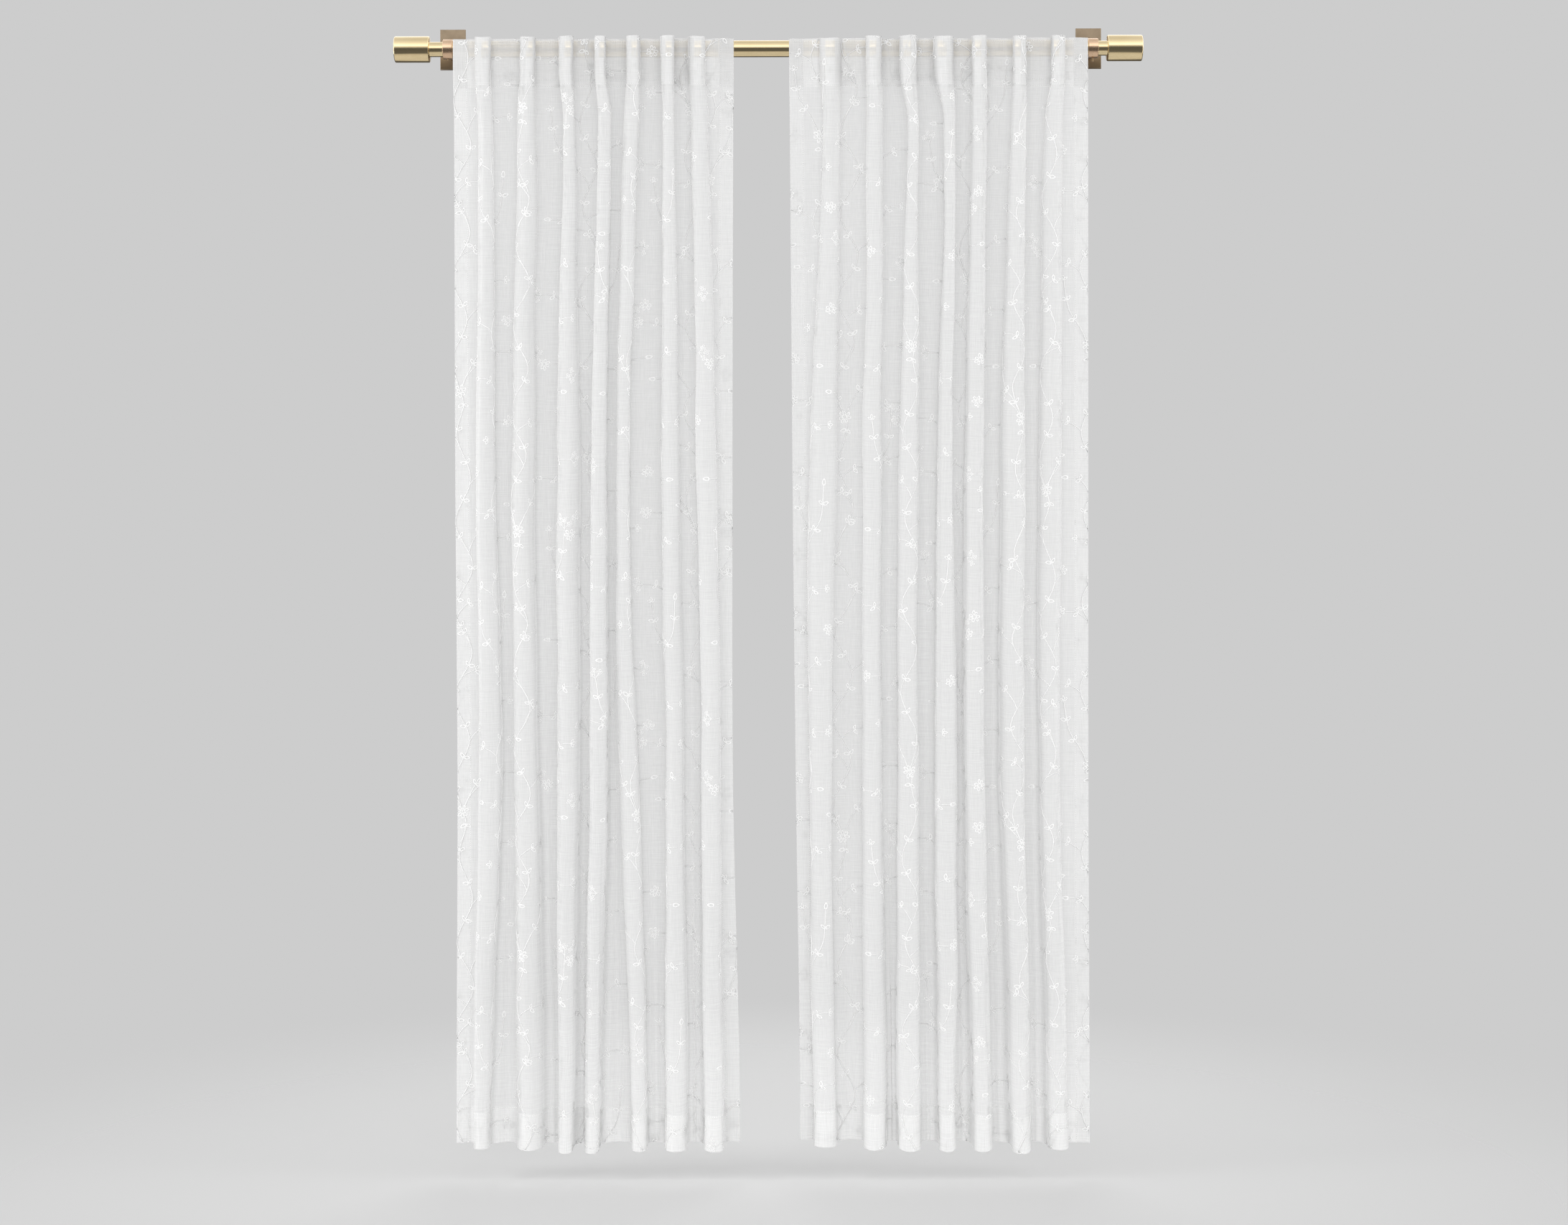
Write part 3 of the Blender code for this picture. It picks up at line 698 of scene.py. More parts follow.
def tabTree():
    tree, graph, take = newTree("backTab", (("Width", "Float", 0.034), ("Place", "Float", 0.0),
                                            ("Ripple", "Float", 0.0002), ("Seed", "Float", 1.0)))
    grid = graph.add("GeometryNodeMeshGrid", None, {
        "Size X": take("Width"), "Size Y": 1.0,
        "Vertices X": tabSizes["columns"], "Vertices Y": tabSizes["rows"]})
    x, y, _ = graph.axes(graph.get("GeometryNodeInputPosition"))
    along = graph.clamp(0.5 - y)
    sample = graph.add("GeometryNodeSampleCurve", {
        "data_type": "FLOAT_VECTOR", "mode": "FACTOR", "use_all_curves": True},
        {"Curves": asCurve(graph, take("Geometry")), "Factor": along})
    _, baseY, baseZ = graph.axes(graph.wire(sample, "Position"))
    _, runY, runZ = graph.axes(graph.wire(sample, "Tangent"))
    push = (grain(graph, x * 90.0 + take("Seed"), along * 9.0, 0.0, 1.0) - 0.5) * 2.0 * take("Ripple")
    place = graph.get("ShaderNodeCombineXYZ", None, {
        "X": x + take("Place"), "Y": baseY - runZ * push, "Z": baseZ + runY * push})
    flat = vectorMaths(graph, "MULTIPLY_ADD", {
        0: graph.wire(grid, "UV Map"), 1: (0.025, 0.06, 0.0), 2: (0.3, 0.4, 0.0)})
    moved = movedTo(graph, graph.wire(grid), place)
    endTree(graph, take, storeValue(graph, moved, "clothMap", flat, "FLOAT2", "CORNER"))
    return tree


# The strip's way from its upper seam around the rod to its lower seam, as (forward or back, up)
def tabPath():
    sizes = tabSizes
    cloth = clothSizes
    against = -cloth["flatFront"] + sizes["behind"]
    radius = sizes["rodRadius"] + sizes["standoff"]
    top = cloth["headingStand"] - sizes["top"]
    bottom = cloth["headingStand"] - sizes["bottom"]
    seam = sizes["seam"]
    points = [(against, top - seam), (against, top - 1.2), (against + 0.7, top + 0.6),
              (against + 2.4, top + 2.0), (against + 5.0, top + 3.2)]
    for degrees in range(sizes["first"], sizes["last"] - 1, -sizes["turn"]):
        angle = math.radians(degrees)
        points.append((radius * math.cos(angle), radius * math.sin(angle)))
    tail = points[-1]
    foot = (against + 1.5, bottom + seam + 3.0)
    for step in range(1, 6):
        t = step / 6
        points.append((tail[0] + (foot[0] - tail[0]) * t, tail[1] + (foot[1] - tail[1]) * t))
    points += [foot, (against + 0.3, bottom + seam - 1.0), (against, bottom + seam / 2), (against, bottom)]
    mesh = bpy.data.meshes.new("tabPath")
    mesh.from_pydata([(0.0, rodY + y * mm, rodZ + z * mm) for y, z in points],
                     [(k, k + 1) for k in range(len(points) - 1)], [])
    return mesh, sum(math.dist(a, b) for a, b in zip(points, points[1:]))


def tabPlaces(side):
    leftEdge, rightEdge, folds = foldsAt(panels[side], levels[0])
    places = [leftEdge + clothSizes["tabInset"]]
    for fold, other in zip(folds, folds[1:]):
        start = fold["middle"] + fold["neck"] / 2 + fold["corner"]
        end = other["middle"] - other["neck"] / 2 - other["corner"]
        places.append((start + end) / 2)
    return places + [rightEdge - clothSizes["tabInset"]]


tabPieces = {}
wrap = tabTree()
pathMesh, tabLength = tabPath()
for side in panels:
    for number, place in enumerate(tabPlaces(side), start=1):
        tabPieces[side, number] = runTree(f"backTab{side.capitalize()}{number}", wrap, pathMesh.copy(), {
            "Width": tabSizes["width"] * mm, "Place": place * mm, "Ripple": tabSizes["ripple"] * mm,
            "Seed": 3.7 * number + (0.0 if side == "left" else 40.0), "Material": tabVoile})
print("tabs", len(tabPieces), "of", round(tabLength, 1), "mm")


# Needlework is laid out on the flat cloth, (across, up, height), and then carried on to the folds

needle = {
    "stem": 2.1, "shoot": 2.0, "flatness": 0.6, "above": 0.25,  # mm
    "stitch": 2.6, "stitchPitch": 4.2, "stitchWidth": 0.55, "stitchAbove": 0.1,
    "seamInset": 2.5, "tabEnd": 4.0, "tabSide": 1.5,  # from an edge to its row of stitches
    "sides": 4, "step": 8.0,
}


def readAttribute(graph, name, kind):
    return graph.get("GeometryNodeInputNamedAttribute", {"data_type": kind}, {"Name": name})


def shapeOf(graph, thing):
    return graph.get("GeometryNodeObjectInfo", {"transform_space": "ORIGINAL"}, {"Object": thing}, "Geometry")


# Adds the nodes that carry flat geometry on to a panel through its cloth map
def layOnCloth(graph, take, instances):
    real = graph.get("GeometryNodeRealizeInstances", None, {"Geometry": instances})
    sheet = shapeOf(graph, take("Panel"))
    mapName = readAttribute(graph, "clothMap", "FLOAT_VECTOR")
    spot = graph.get("GeometryNodeInputPosition")
    flat = vectorMaths(graph, "MULTIPLY_ADD", {
        0: spot, 1: (1 / (cutWidth * mm), 1 / (cutLength * mm), 0.0), 2: (*mapPlace(0.0, 0.0), 0.0)})
    face, normal = (graph.add("GeometryNodeSampleUVSurface", {"data_type": "FLOAT_VECTOR"}, {
        "Mesh": sheet, "Value": value, "UV Map": mapName, "Sample UV": flat})
        for value in (spot, graph.get("GeometryNodeInputNormal")))
    height = graph.axes(spot)[2] + take("Above")
    lifted = vectorMaths(graph, "SCALE", {0: graph.wire(normal), "Scale": height})
    offCloth = graph.get("FunctionNodeBooleanMath", {"operation": "NOT"}, {0: graph.wire(face, "Is Valid")})
    kept = graph.get("GeometryNodeDeleteGeometry", {"domain": "POINT"},
                     {"Geometry": real, "Selection": offCloth})
    return movedTo(graph, kept, vectorMaths(graph, "ADD", {0: graph.wire(face), 1: lifted}))


def embroideryTree():
    tree, graph, take = newTree("embroidery", (
        *((label, "Object", None) for label in ("Panel", "Motifs", "Leaf", "Daisy", "Floret")),
        ("Above", "Float", 0.0003)))
    run = graph.get("GeometryNodeSplineParameter", name="Length")
    noted = storeValue(graph, asCurve(graph, take("Geometry")), "threadRun", run, "FLOAT", "POINT")
    ring = graph.get("GeometryNodeCurvePrimitiveCircle", None, {"Resolution": needle["sides"], "Radius": 1.0})
    squash = graph.get("GeometryNodeTransform", None,
                       {"Geometry": ring, "Scale": (1.0, needle["flatness"], 1.0)})
    joined = [graph.get("GeometryNodeCurveToMesh", None, {
        "Curve": noted, "Profile Curve": squash, "Fill Caps": True,
        "Scale": readAttribute(graph, "threadWidth", "FLOAT") * 0.5})]
    motifs = shapeOf(graph, take("Motifs"))
    turn = graph.get("ShaderNodeCombineXYZ", None, {"Z": readAttribute(graph, "turn", "FLOAT")})
    for number, label in enumerate(("Leaf", "Daisy", "Floret")):
        chosen = graph.get("FunctionNodeCompare", {"data_type": "INT", "operation": "EQUAL"}, {
            2: readAttribute(graph, "kind", "INT"), 3: number})
        joined.append(graph.get("GeometryNodeInstanceOnPoints", None, {
            "Points": motifs, "Selection": chosen, "Instance": shapeOf(graph, take(label)),
            "Rotation": turn, "Scale": readAttribute(graph, "size", "FLOAT")}))
    join = graph.add("GeometryNodeJoinGeometry")
    for wire in joined:
        tree.links.new(wire.socket, join.inputs[0])
    endTree(graph, take, layOnCloth(graph, take, graph.wire(join)))
    return tree


def stitchTree():
    tree, graph, take = newTree("stitches", (("Panel", "Object", None), ("Stitch", "Object", None),
                                             ("Pitch", "Float", 0.004), ("Above", "Float", 0.0003)))
    points = graph.add("GeometryNodeCurveToPoints", {"mode": "LENGTH"}, {
        "Curve": asCurve(graph, take("Geometry")), "Length": take("Pitch")})
    facing = graph.get("FunctionNodeAlignRotationToVector", {"axis": "X", "pivot_axis": "Z"},
                       {"Vector": graph.wire(points, "Tangent")})
    endTree(graph, take, layOnCloth(graph, take, graph.get("GeometryNodeInstanceOnPoints", None, {
        "Points": graph.wire(points), "Instance": shapeOf(graph, take("Stitch")), "Rotation": facing})))
    return tree


def giveValues(mesh, name, kind, values):
    mesh.attributes.new(name, kind, "POINT").data.foreach_set("value", values)


# Flat loops of thread in rings from the rim inwards, each ring a (scale, height) of the outline
def loopMesh(name, outlines, rings):
    vertices, faces, runs = [], [], []
    for outline in outlines:
        count = len(outline)
        middleX, middleY = (sum(point[axis] for point in outline) / count for axis in (0, 1))
        first = len(vertices)
        around = [0.0]
        for a, b in zip(outline, outline[1:]):
            around.append(around[-1] + math.dist(a, b))
        for scale, height in rings:
            vertices += [((middleX + (x - middleX) * scale) * mm, (middleY + (y - middleY) * scale) * mm,
                          height * mm) for x, y in outline]
            runs += [run * mm for run in around]
        for low in range(first, first + (len(rings) - 1) * count, count):
            for k in range(count):
                after = (k + 1) % count
                faces.append((low + k, low + after, low + count + after, low + count + k))
    mesh = bpy.data.meshes.new(name)
    mesh.from_pydata(vertices, [], faces)
    giveValues(mesh, "threadRun", "FLOAT", runs)
    return linkObject(name, mesh)


# A leaf or petal outline from its foot at the origin along +X
def petalOutline(sizes, turn=0.0, scale=1.0):
    points = []
    for k in range(sizes["count"]):
        angle = 2 * math.pi * k / sizes["count"]
        x = sizes["start"] + sizes["length"] * scale * (0.5 - 0.5 * math.cos(angle))
        y = sizes["width"] / 2 * math.sin(angle) * (1 - sizes["fullness"] * math.cos(angle))
        points.append((x * math.cos(turn) - y * math.sin(turn), x * math.sin(turn) + y * math.cos(turn)))
    return points


motifSizes = {
    "Leaf": {"length": 15.6, "width": 8.8, "count": 8, "fullness": -0.25, "start": 0.0, "vein": 0.55,
             "rings": ((1.0, -0.1), (0.84, 0.28), (0.56, 0.0))},
    "Daisy": {"length": 10.0, "width": 6.0, "count": 7, "fullness": 0.3, "start": 2.0, "petals": 7,
              "rings": ((1.0, -0.1), (0.8, 0.3), (0.52, -0.05))},
    "Floret": {"length": 5.6, "width": 5.0, "count": 6, "fullness": 0.1, "start": 0.6, "petals": 4,
               "rings": ((1.0, -0.1), (0.8, 0.3), (0.52, -0.05))},
}


def motifShapes():
    shapes = {}
    for label, sizes in motifSizes.items():
        if label == "Leaf":
            long, half = sizes["length"], sizes["vein"]
            outlines = [petalOutline(sizes),
                        [(0.5, 0.0), (long * 0.5, -half), (long * 0.82, 0.0), (long * 0.5, half)]]
        else:
            turns = [2 * math.pi * k / sizes["petals"] + 0.13 * math.sin(2.4 * k)
                     for k in range(sizes["petals"])]
            outlines = [petalOutline(sizes, turn, 1.0 + 0.08 * math.cos(3.1 * k))
                        for k, turn in enumerate(turns)]
        shapes[label] = loopMesh(label.lower() + "Shape", outlines, sizes["rings"])
    return shapes


# The vine's own chart, in mm: x to the right and y up from the lower left corner of one repeat
chart = {
    "wide": 421.0, "tall": 812.0, "shiftLeft": (-60.0, 35.0), "shiftRight": (-148.0, 250.0),
    "clear": 1.0,  # how far thread stays from the cut edge
    "beyond": 6.0,  # how far past that a motif's foot may lie
}
Stem = namedtuple("Stem", "name points leaves end")
stemChart = (
    Stem("vineA", ((70, 96), (56, 160), (84, 236), (54, 318), (90, 402), (58, 486), (93, 570), (60, 654),
                   (90, 738), (64, 818), (78, 881)),
         (.05, .13, .205, .29, .36, .44, .52, .60, .68, .77, .86, .94), None),
    Stem("fanA1", ((70, 96), (54, 134), (36, 178), (28, 232)), (.45, .74), "trefoil"),
    Stem("fanA2", ((70, 96), (88, 136), (112, 182), (118, 240)), (.38, .70), "cluster"),
    Stem("fanA3", ((70, 96), (84, 126), (112, 152), (146, 160)), (.62,), "bud"),
    Stem("tailA", ((70, 96), (75, 84), (78, 69)), (.9,), None),
    Stem("vineB", ((206, 372), (222, 440), (190, 524), (227, 606), (193, 690), (229, 772), (197, 856),
                   (224, 936), (192, 1016), (220, 1094), (209, 1157)),
         (.06, .14, .22, .31, .39, .46, .55, .63, .71, .79, .87, .95), None),
    Stem("fanB1", ((206, 372), (190, 408), (168, 444), (158, 500)), (.42, .72), "trefoil"),
    Stem("fanB2", ((206, 372), (226, 404), (250, 446), (256, 508)), (.40, .76), "bud"),
    Stem("tailB", ((206, 372), (211, 360), (209, 345)), (.9,), None),
    Stem("vineC", ((346, 640), (328, 706), (362, 786), (326, 868), (365, 950), (330, 1034), (366, 1114),
                   (332, 1196), (362, 1276), (334, 1352), (350, 1425)),
         (.04, .12, .20, .28, .37, .45, .53, .62, .70, .78, .85, .93), None),
    Stem("fanC1", ((346, 640), (330, 676), (306, 712), (296, 768)), (.44, .73), "cluster"),
    Stem("fanC2", ((346, 640), (364, 678), (388, 716), (396, 776)), (.40, .70), "trefoil"),
    Stem("fanC3", ((346, 640), (330, 664), (304, 682), (274, 688)), (.58,), "bud"),
    Stem("tailC", ((346, 640), (351, 628), (350, 613)), (.9,), None),
)
rootChart = ((70, 96), (206, 372), (346, 640))

# Side shoots by the stem that they leave: the share of its length, the side, the reach, the rise, where along
# the shoot its leaves stand, and the end
Shoot = namedtuple("Shoot", "at side reach rise leaf end")
shootChart = {
    "vineA": ((.17, 1, 52, 30, .55, "daisy"), (.25, -1, 46, 40, .6, "bud"),
              (.33, 1, 58, 16, .5, "cluster"), (.41, -1, 40, 44, .6, "trefoil"),
              (.48, 1, 47, 30, .6, "bud"), (.56, -1, 54, 20, .5, "daisy"),
              (.64, 1, 44, 46, .6, "trefoil"), (.73, -1, 50, 22, .55, "cluster"),
              (.81, 1, 56, 24, .5, "daisy"), (.90, -1, 42, 34, .6, "bud")),
    "vineB": ((.18, -1, 50, 18, .5, "cluster"), (.27, 1, 46, 42, .6, "trefoil"),
              (.35, -1, 54, 26, .55, "daisy"), (.43, 1, 43, 30, .6, "bud"),
              (.51, -1, 45, 44, .6, "trefoil"), (.59, 1, 57, 18, .5, "daisy"),
              (.67, -1, 42, 36, .6, "bud"), (.75, 1, 52, 26, .55, "cluster"),
              (.83, -1, 55, 20, .5, "daisy"), (.91, 1, 43, 40, .6, "trefoil")),
    "vineC": ((.16, -1, 47, 36, .6, "bud"), (.24, 1, 55, 22, .5, "daisy"),
              (.33, -1, 48, 42, .6, "trefoil"), (.41, 1, 50, 20, .55, "cluster"),
              (.49, -1, 57, 24, .5, "daisy"), (.57, 1, 42, 38, .6, "bud"),
              (.66, -1, 51, 18, .5, "cluster"), (.74, 1, 46, 42, .6, "trefoil"),
              (.82, -1, 44, 30, .6, "bud"), (.89, 1, 54, 22, .5, "daisy")),
}


# A smooth run through the points, cut at equal steps
def smoothRun(points, step):
    ends = [tuple(2 * a - b for a, b in zip(points[0], points[1]))]
    tails = [tuple(2 * a - b for a, b in zip(points[-1], points[-2]))]
    padded = ends + list(points) + tails
    dense = []
    for p0, p1, p2, p3 in zip(padded, padded[1:], padded[2:], padded[3:]):
        for k in range(12):
            t = k / 12
            dense.append(tuple(0.5 * (2 * b + (c - a) * t + (2 * a - 5 * b + 4 * c - d) * t * t
                                      + (3 * b - a - 3 * c + d) * t ** 3)
                               for a, b, c, d in zip(p0, p1, p2, p3)))
    dense.append(tuple(points[-1]))
    line = np.array(dense)
    run = np.concatenate(([0.0], np.cumsum(np.hypot(*np.diff(line, axis=0).T))))
    cuts = np.linspace(0.0, run[-1], max(3, round(run[-1] / step)) + 1)
    return np.column_stack((np.interp(cuts, run, line[:, 0]), np.interp(cuts, run, line[:, 1])))


def headingAt(line, share):
    place = min(max(share, 0.0), 1.0) * (len(line) - 1)
    index = min(int(place), len(line) - 2)
    spot = line[index] + (line[index + 1] - line[index]) * (place - index)
    run = line[index + 1] - line[index]
    return spot, math.atan2(run[1], run[0])


sprig = {
    "stemLeaf": 0.88, "shootLeaf": 0.80, "bud": 0.95, "rootDaisy": 1.1,
    "leafLean": 1.02, "leanSwing": 0.16, "leafSize": 0.9, "sizeSwing": 0.12,
    "daisyGap": 8.0, "floretGap": 3.0, "floretTurn": 0.4,
    "trefoil": ((-1.05, 0.60), (0.0, 0.68), (1.05, 0.60)),  # lean and size
    "cluster": ((-0.75, 11.0), (0.1, 13.0), (0.85, 10.0)),  # lean and length
    "bend": ((0.0, 0.0), (0.18, 0.45), (0.55, 0.95), (1.0, 1.0)),  # shares of a shoot's reach and rise
}


# One repeat of the vine as runs of thread and motifs (x, y, kind, turn, size)
def drawRepeat():
    runs, motifs = [], []

    def beside(spot, angle, far):
        return spot + far * np.array((math.cos(angle), math.sin(angle)))

    def motif(spot, kind, turn, size):
        motifs.append((spot[0], spot[1], kind, turn, size))

    def leafPair(line, share, size):
        spot, angle = headingAt(line, share)
        swing = math.sin(47 * share)
        for side in (-1, 1):
            motif(spot, 0, angle + side * (sprig["leafLean"] + sprig["leanSwing"] * side * swing),
                  size * (sprig["leafSize"] + sprig["sizeSwing"] * side * swing))

    def finish(line, end):
        spot, angle = headingAt(line, 1.0)
        if end == "daisy":
            motif(beside(spot, angle, sprig["daisyGap"]), 1, angle, 1.0)
        elif end == "trefoil":
            for lean, size in sprig["trefoil"]:
                motif(spot, 0, angle + lean, size)
        elif end == "bud":
            motif(spot, 0, angle, sprig["bud"])
        elif end == "cluster":
            for lean, far in sprig["cluster"]:
                tip = beside(spot, angle + lean, far)
                runs.append((np.array((spot, (spot + tip) / 2, tip)), needle["shoot"]))
                middle = beside(tip, angle + lean, sprig["floretGap"])
                motif(middle, 2, angle + lean + sprig["floretTurn"], 1.0)

    lines = {}
    for stem in stemChart:
        line = smoothRun(stem.points, needle["step"])
        lines[stem.name] = line
        runs.append((line, needle["stem" if stem.name.startswith("vine") else "shoot"]))
        for share in stem.leaves:
            leafPair(line, share, sprig["stemLeaf"])
        finish(line, stem.end)
    for spot in rootChart:
        motif(spot, 1, 0.3 + spot[0], sprig["rootDaisy"])
    for name, shoots in shootChart.items():
        for shoot in (Shoot(*row) for row in shoots):
            spot, _ = headingAt(lines[name], shoot.at)
            reach = shoot.side * shoot.reach
            bends = [(spot[0] + out * reach, spot[1] + up * shoot.rise) for out, up in sprig["bend"]]
            line = smoothRun(bends, needle["step"] * 0.8)
            runs.append((line, needle["shoot"]))
            leafPair(line, shoot.leaf, sprig["shootLeaf"])
            finish(line, shoot.end)
    return runs, motifs


# The repeats that cover a panel: the runs of thread as a mesh of edges, and the motifs as a mesh of points
def chartMeshes(side):
    sizes = clothSizes
    clear = chart["clear"]
    left, right = -sizes["sideHem"] + clear, sizes["width"] + sizes["sideHem"] - clear
    top, bottom = sizes["headingDepth"] - clear, -sizes["length"] - sizes["hemDepth"] + clear
    shiftX, shiftY = chart["shift" + side.capitalize()]
    runs, motifs = drawRepeat()
    vertices, edges, widths, spots = [], [], [], []

    def onCloth(x, y, beyond=0.0):
        return left - beyond < x < right + beyond and bottom - beyond < y < top + beyond

    for tileX in range(-1, 5):
        for tileY in range(-5, 2):
            moveX = tileX * chart["wide"] + shiftX
            moveY = tileY * chart["tall"] + shiftY + (0.5 * chart["tall"] if tileX % 2 else 0.0)
            for line, width in runs:
                last = None
                for x, y in line:
                    if onCloth(x + moveX, y + moveY):
                        vertices.append(((x + moveX) * mm, (y + moveY) * mm, 0.0))
                        widths.append(width * mm)
                        if last is not None:
                            edges.append((last, len(vertices) - 1))
                        last = len(vertices) - 1
                    else:
                        last = None
            spots += [((x + moveX) * mm, (y + moveY) * mm, *rest) for x, y, *rest in motifs
                      if onCloth(x + moveX, y + moveY, chart["beyond"])]
    stems = bpy.data.meshes.new("stemRuns")
    stems.from_pydata(vertices, edges, [])
    giveValues(stems, "threadWidth", "FLOAT", widths)
    points = bpy.data.meshes.new("motifSpots")
    points.from_pydata([(x, y, 0.0) for x, y, *_ in spots], [], [])
    for column, (name, kind) in enumerate((("kind", "INT"), ("turn", "FLOAT"), ("size", "FLOAT")), start=2):
        giveValues(points, name, kind, [spot[column] for spot in spots])
    return stems, points


# One stitch: five sides of thread, pointed at both ends
def stitchShape():
    half, radius, sides = needle["stitch"] / 2, needle["stitchWidth"] / 2, 5
    bm = bmesh.new()
    rings = [[bm.verts.new(Vector((x * half, radius * math.cos(k * math.pi * 0.4),
                                   radius * math.sin(k * math.pi * 0.4) + 0.12)) * mm) for k in range(sides)]
             for x in (-0.62, 0.62)]
    tips = [bm.verts.new(Vector((sign * half, 0.0, -0.12)) * mm) for sign in (-1, 1)]
    for k in range(sides):
        after = (k + 1) % sides
        bm.faces.new((rings[0][k], rings[0][after], rings[1][after], rings[1][k]))
        bm.faces.new((tips[0], rings[0][after], rings[0][k]))
        bm.faces.new((tips[1], rings[1][k], rings[1][after]))
    bmesh.ops.recalc_face_normals(bm, faces=bm.faces)
    mesh = meshFrom(bm, "stitchShape")
    giveValues(mesh, "threadRun", "FLOAT", [vertex.co.x for vertex in mesh.vertices])
    return linkObject("stitchShape", mesh)


def seamRuns():
    sizes = clothSizes
    width, length, inset = sizes["width"], sizes["length"], needle["seamInset"]
    inner = sizes["sideHem"] - inset
    levelSeams = (inset - sizes["headingDepth"], sizes["hemDepth"] - inset - length)
    runs = [((1.0, up), (width - 1.0, up)) for up in levelSeams]
    runs += [((across, -1.0), (across, 1.0 - length)) for across in (inner, width - inner)]
    half = tabSizes["width"] / 2 - needle["tabSide"]
    for tab in range(sizes["tabs"]):
        middle = sizes["tabInset"] + tabPitch * tab
        runs += [((middle - half, -depth), (middle + half, -depth))
                 for depth in (tabSizes["top"] + needle["tabEnd"], tabSizes["bottom"] - needle["tabEnd"])]
    mesh = bpy.data.meshes.new("seamRuns")
    mesh.from_pydata([(x * mm, y * mm, 0.0) for run in runs for x, y in run],
                     [(2 * k, 2 * k + 1) for k in range(len(runs))], [])
    return mesh


shapes = motifShapes()
stitch = stitchShape()
vineTree = embroideryTree()
seamTree = stitchTree()
needlework = {}
for side, panelPiece in panelPieces.items():
    stems, points = chartMeshes(side)
    motifSpots = linkObject("motifSpots", points)
    vine = runTree(f"embroidery{side.capitalize()}", vineTree, stems, {
        "Panel": panelPiece, "Motifs": motifSpots, **shapes,
        "Above": needle["above"] * mm, "Material": thread})
    seams = runTree(f"seamStitches{side.capitalize()}", seamTree, seamRuns(), {
        "Panel": panelPiece, "Stitch": stitch, "Pitch": needle["stitchPitch"] * mm,
        "Above": needle["stitchAbove"] * mm, "Material": thread})
    bpy.data.objects.remove(motifSpots)
    needlework[side] = (vine, seams)
    counts = [sum(len(face.vertices) - 2 for face in piece.data.polygons) for piece in (vine, seams)]
    print("needlework", side, *counts)
for shape in (*shapes.values(), stitch):
    bpy.data.objects.remove(shape)


# Rod, finials, brackets and plates

hardware = {
    "sides": 96, "screwSides": 24, "barSides": 48,
    "rod": 31.75, "rodWall": 1.2, "rodRound": 0.4, "overall": 1450.0,
    "head": 50.0, "headLength": 67.5, "headRound": 2.0,
    "neck": 28.6, "neckHollow": 1.2, "neckDip": 0.35, "plug": 30.0, "plugSlope": 0.8,
    "ringWidth": 19.0, "ring": 38.0, "ringBore": 32.6, "ringRound": 0.9,
    "arm": 13.0, "armRoot": 17.0, "projection": 76.0,
    "plate": (50.0, 6.0, 79.0), "plateRound": 1.2, "plateRaise": 15.0,
    "screw": 5.0, "screwPitch": 0.8, "screwHole": 5.8, "gap": 0.3,
}
ringCentres = {"left": -621.5, "right": 629.7}
screwProud = {"left": 2.5, "right": 7.0}


# Rounds a turned corner: the points of a quarter circle from one side of the corner to the other
def roundCorner(x, r, stepX, stepR, radius, steps=4):
    points = []
    for k in range(steps + 1):
        angle = math.pi / 2 * k / steps
        points.append((x + stepX * radius * (1 - math.sin(angle)),
                       r + stepR * radius * (1 - math.cos(angle))))
    return points


# A profile of (along, radius) turned about the X or Z axis through the given place
def turnedPiece(name, profile, material, axis="X", place=(0.0, 0.0), closed=False):
    bm = bmesh.new()
    sides = hardware["sides" if axis == "X" else "screwSides"]
    rings = []
    for along, radius in profile:
        ring = []
        for k in range(1 if radius < 1e-6 else sides):
            turn = 2 * math.pi * k / sides
            a, b = radius * math.cos(turn) + place[0], radius * math.sin(turn) + place[1]
            x, y, z = (along, a, b) if axis == "X" else (a, b, along)
            ring.append(bm.verts.new((x * mm, rodY + y * mm, rodZ + z * mm)))
        rings.append(ring)
    pairs = list(zip(rings, rings[1:]))
    if closed:
        pairs.append((rings[-1], rings[0]))
    for ring, other in pairs:
        for k in range(max(len(ring), len(other))):
            corners = [ring[k % len(ring)], ring[(k + 1) % len(ring)], other[(k + 1) % len(other)],
                       other[k % len(other)]]
            unique = list(dict.fromkeys(corners))
            if len(unique) > 2:
                bm.faces.new(unique)
    bmesh.ops.recalc_face_normals(bm, faces=bm.faces)
    mesh = meshFrom(bm, name)
    mesh.shade_smooth()
    mesh.set_sharp_from_angle(angle=math.radians(40))
    return linkObject(name, mesh, material)


def tubeProfile(start, end, outer, inner, radius):
    small = radius * 0.5
    return (roundCorner(start, outer, 1, -1, radius)[::-1] + roundCorner(end, outer, -1, -1, radius)
            + roundCorner(end, inner, -1, 1, small)[::-1] + roundCorner(start, inner, 1, 1, small))


def buildRod():
    sizes = hardware
    start = ringCentres["left"] - sizes["ringWidth"] / 2
    end = ringCentres["right"] + sizes["ringWidth"] / 2
    outer = sizes["rod"] / 2
    profile = tubeProfile(start, end, outer, outer - sizes["rodWall"], sizes["rodRound"])
    return turnedPiece("rodTube", profile, satinBrass, closed=True)


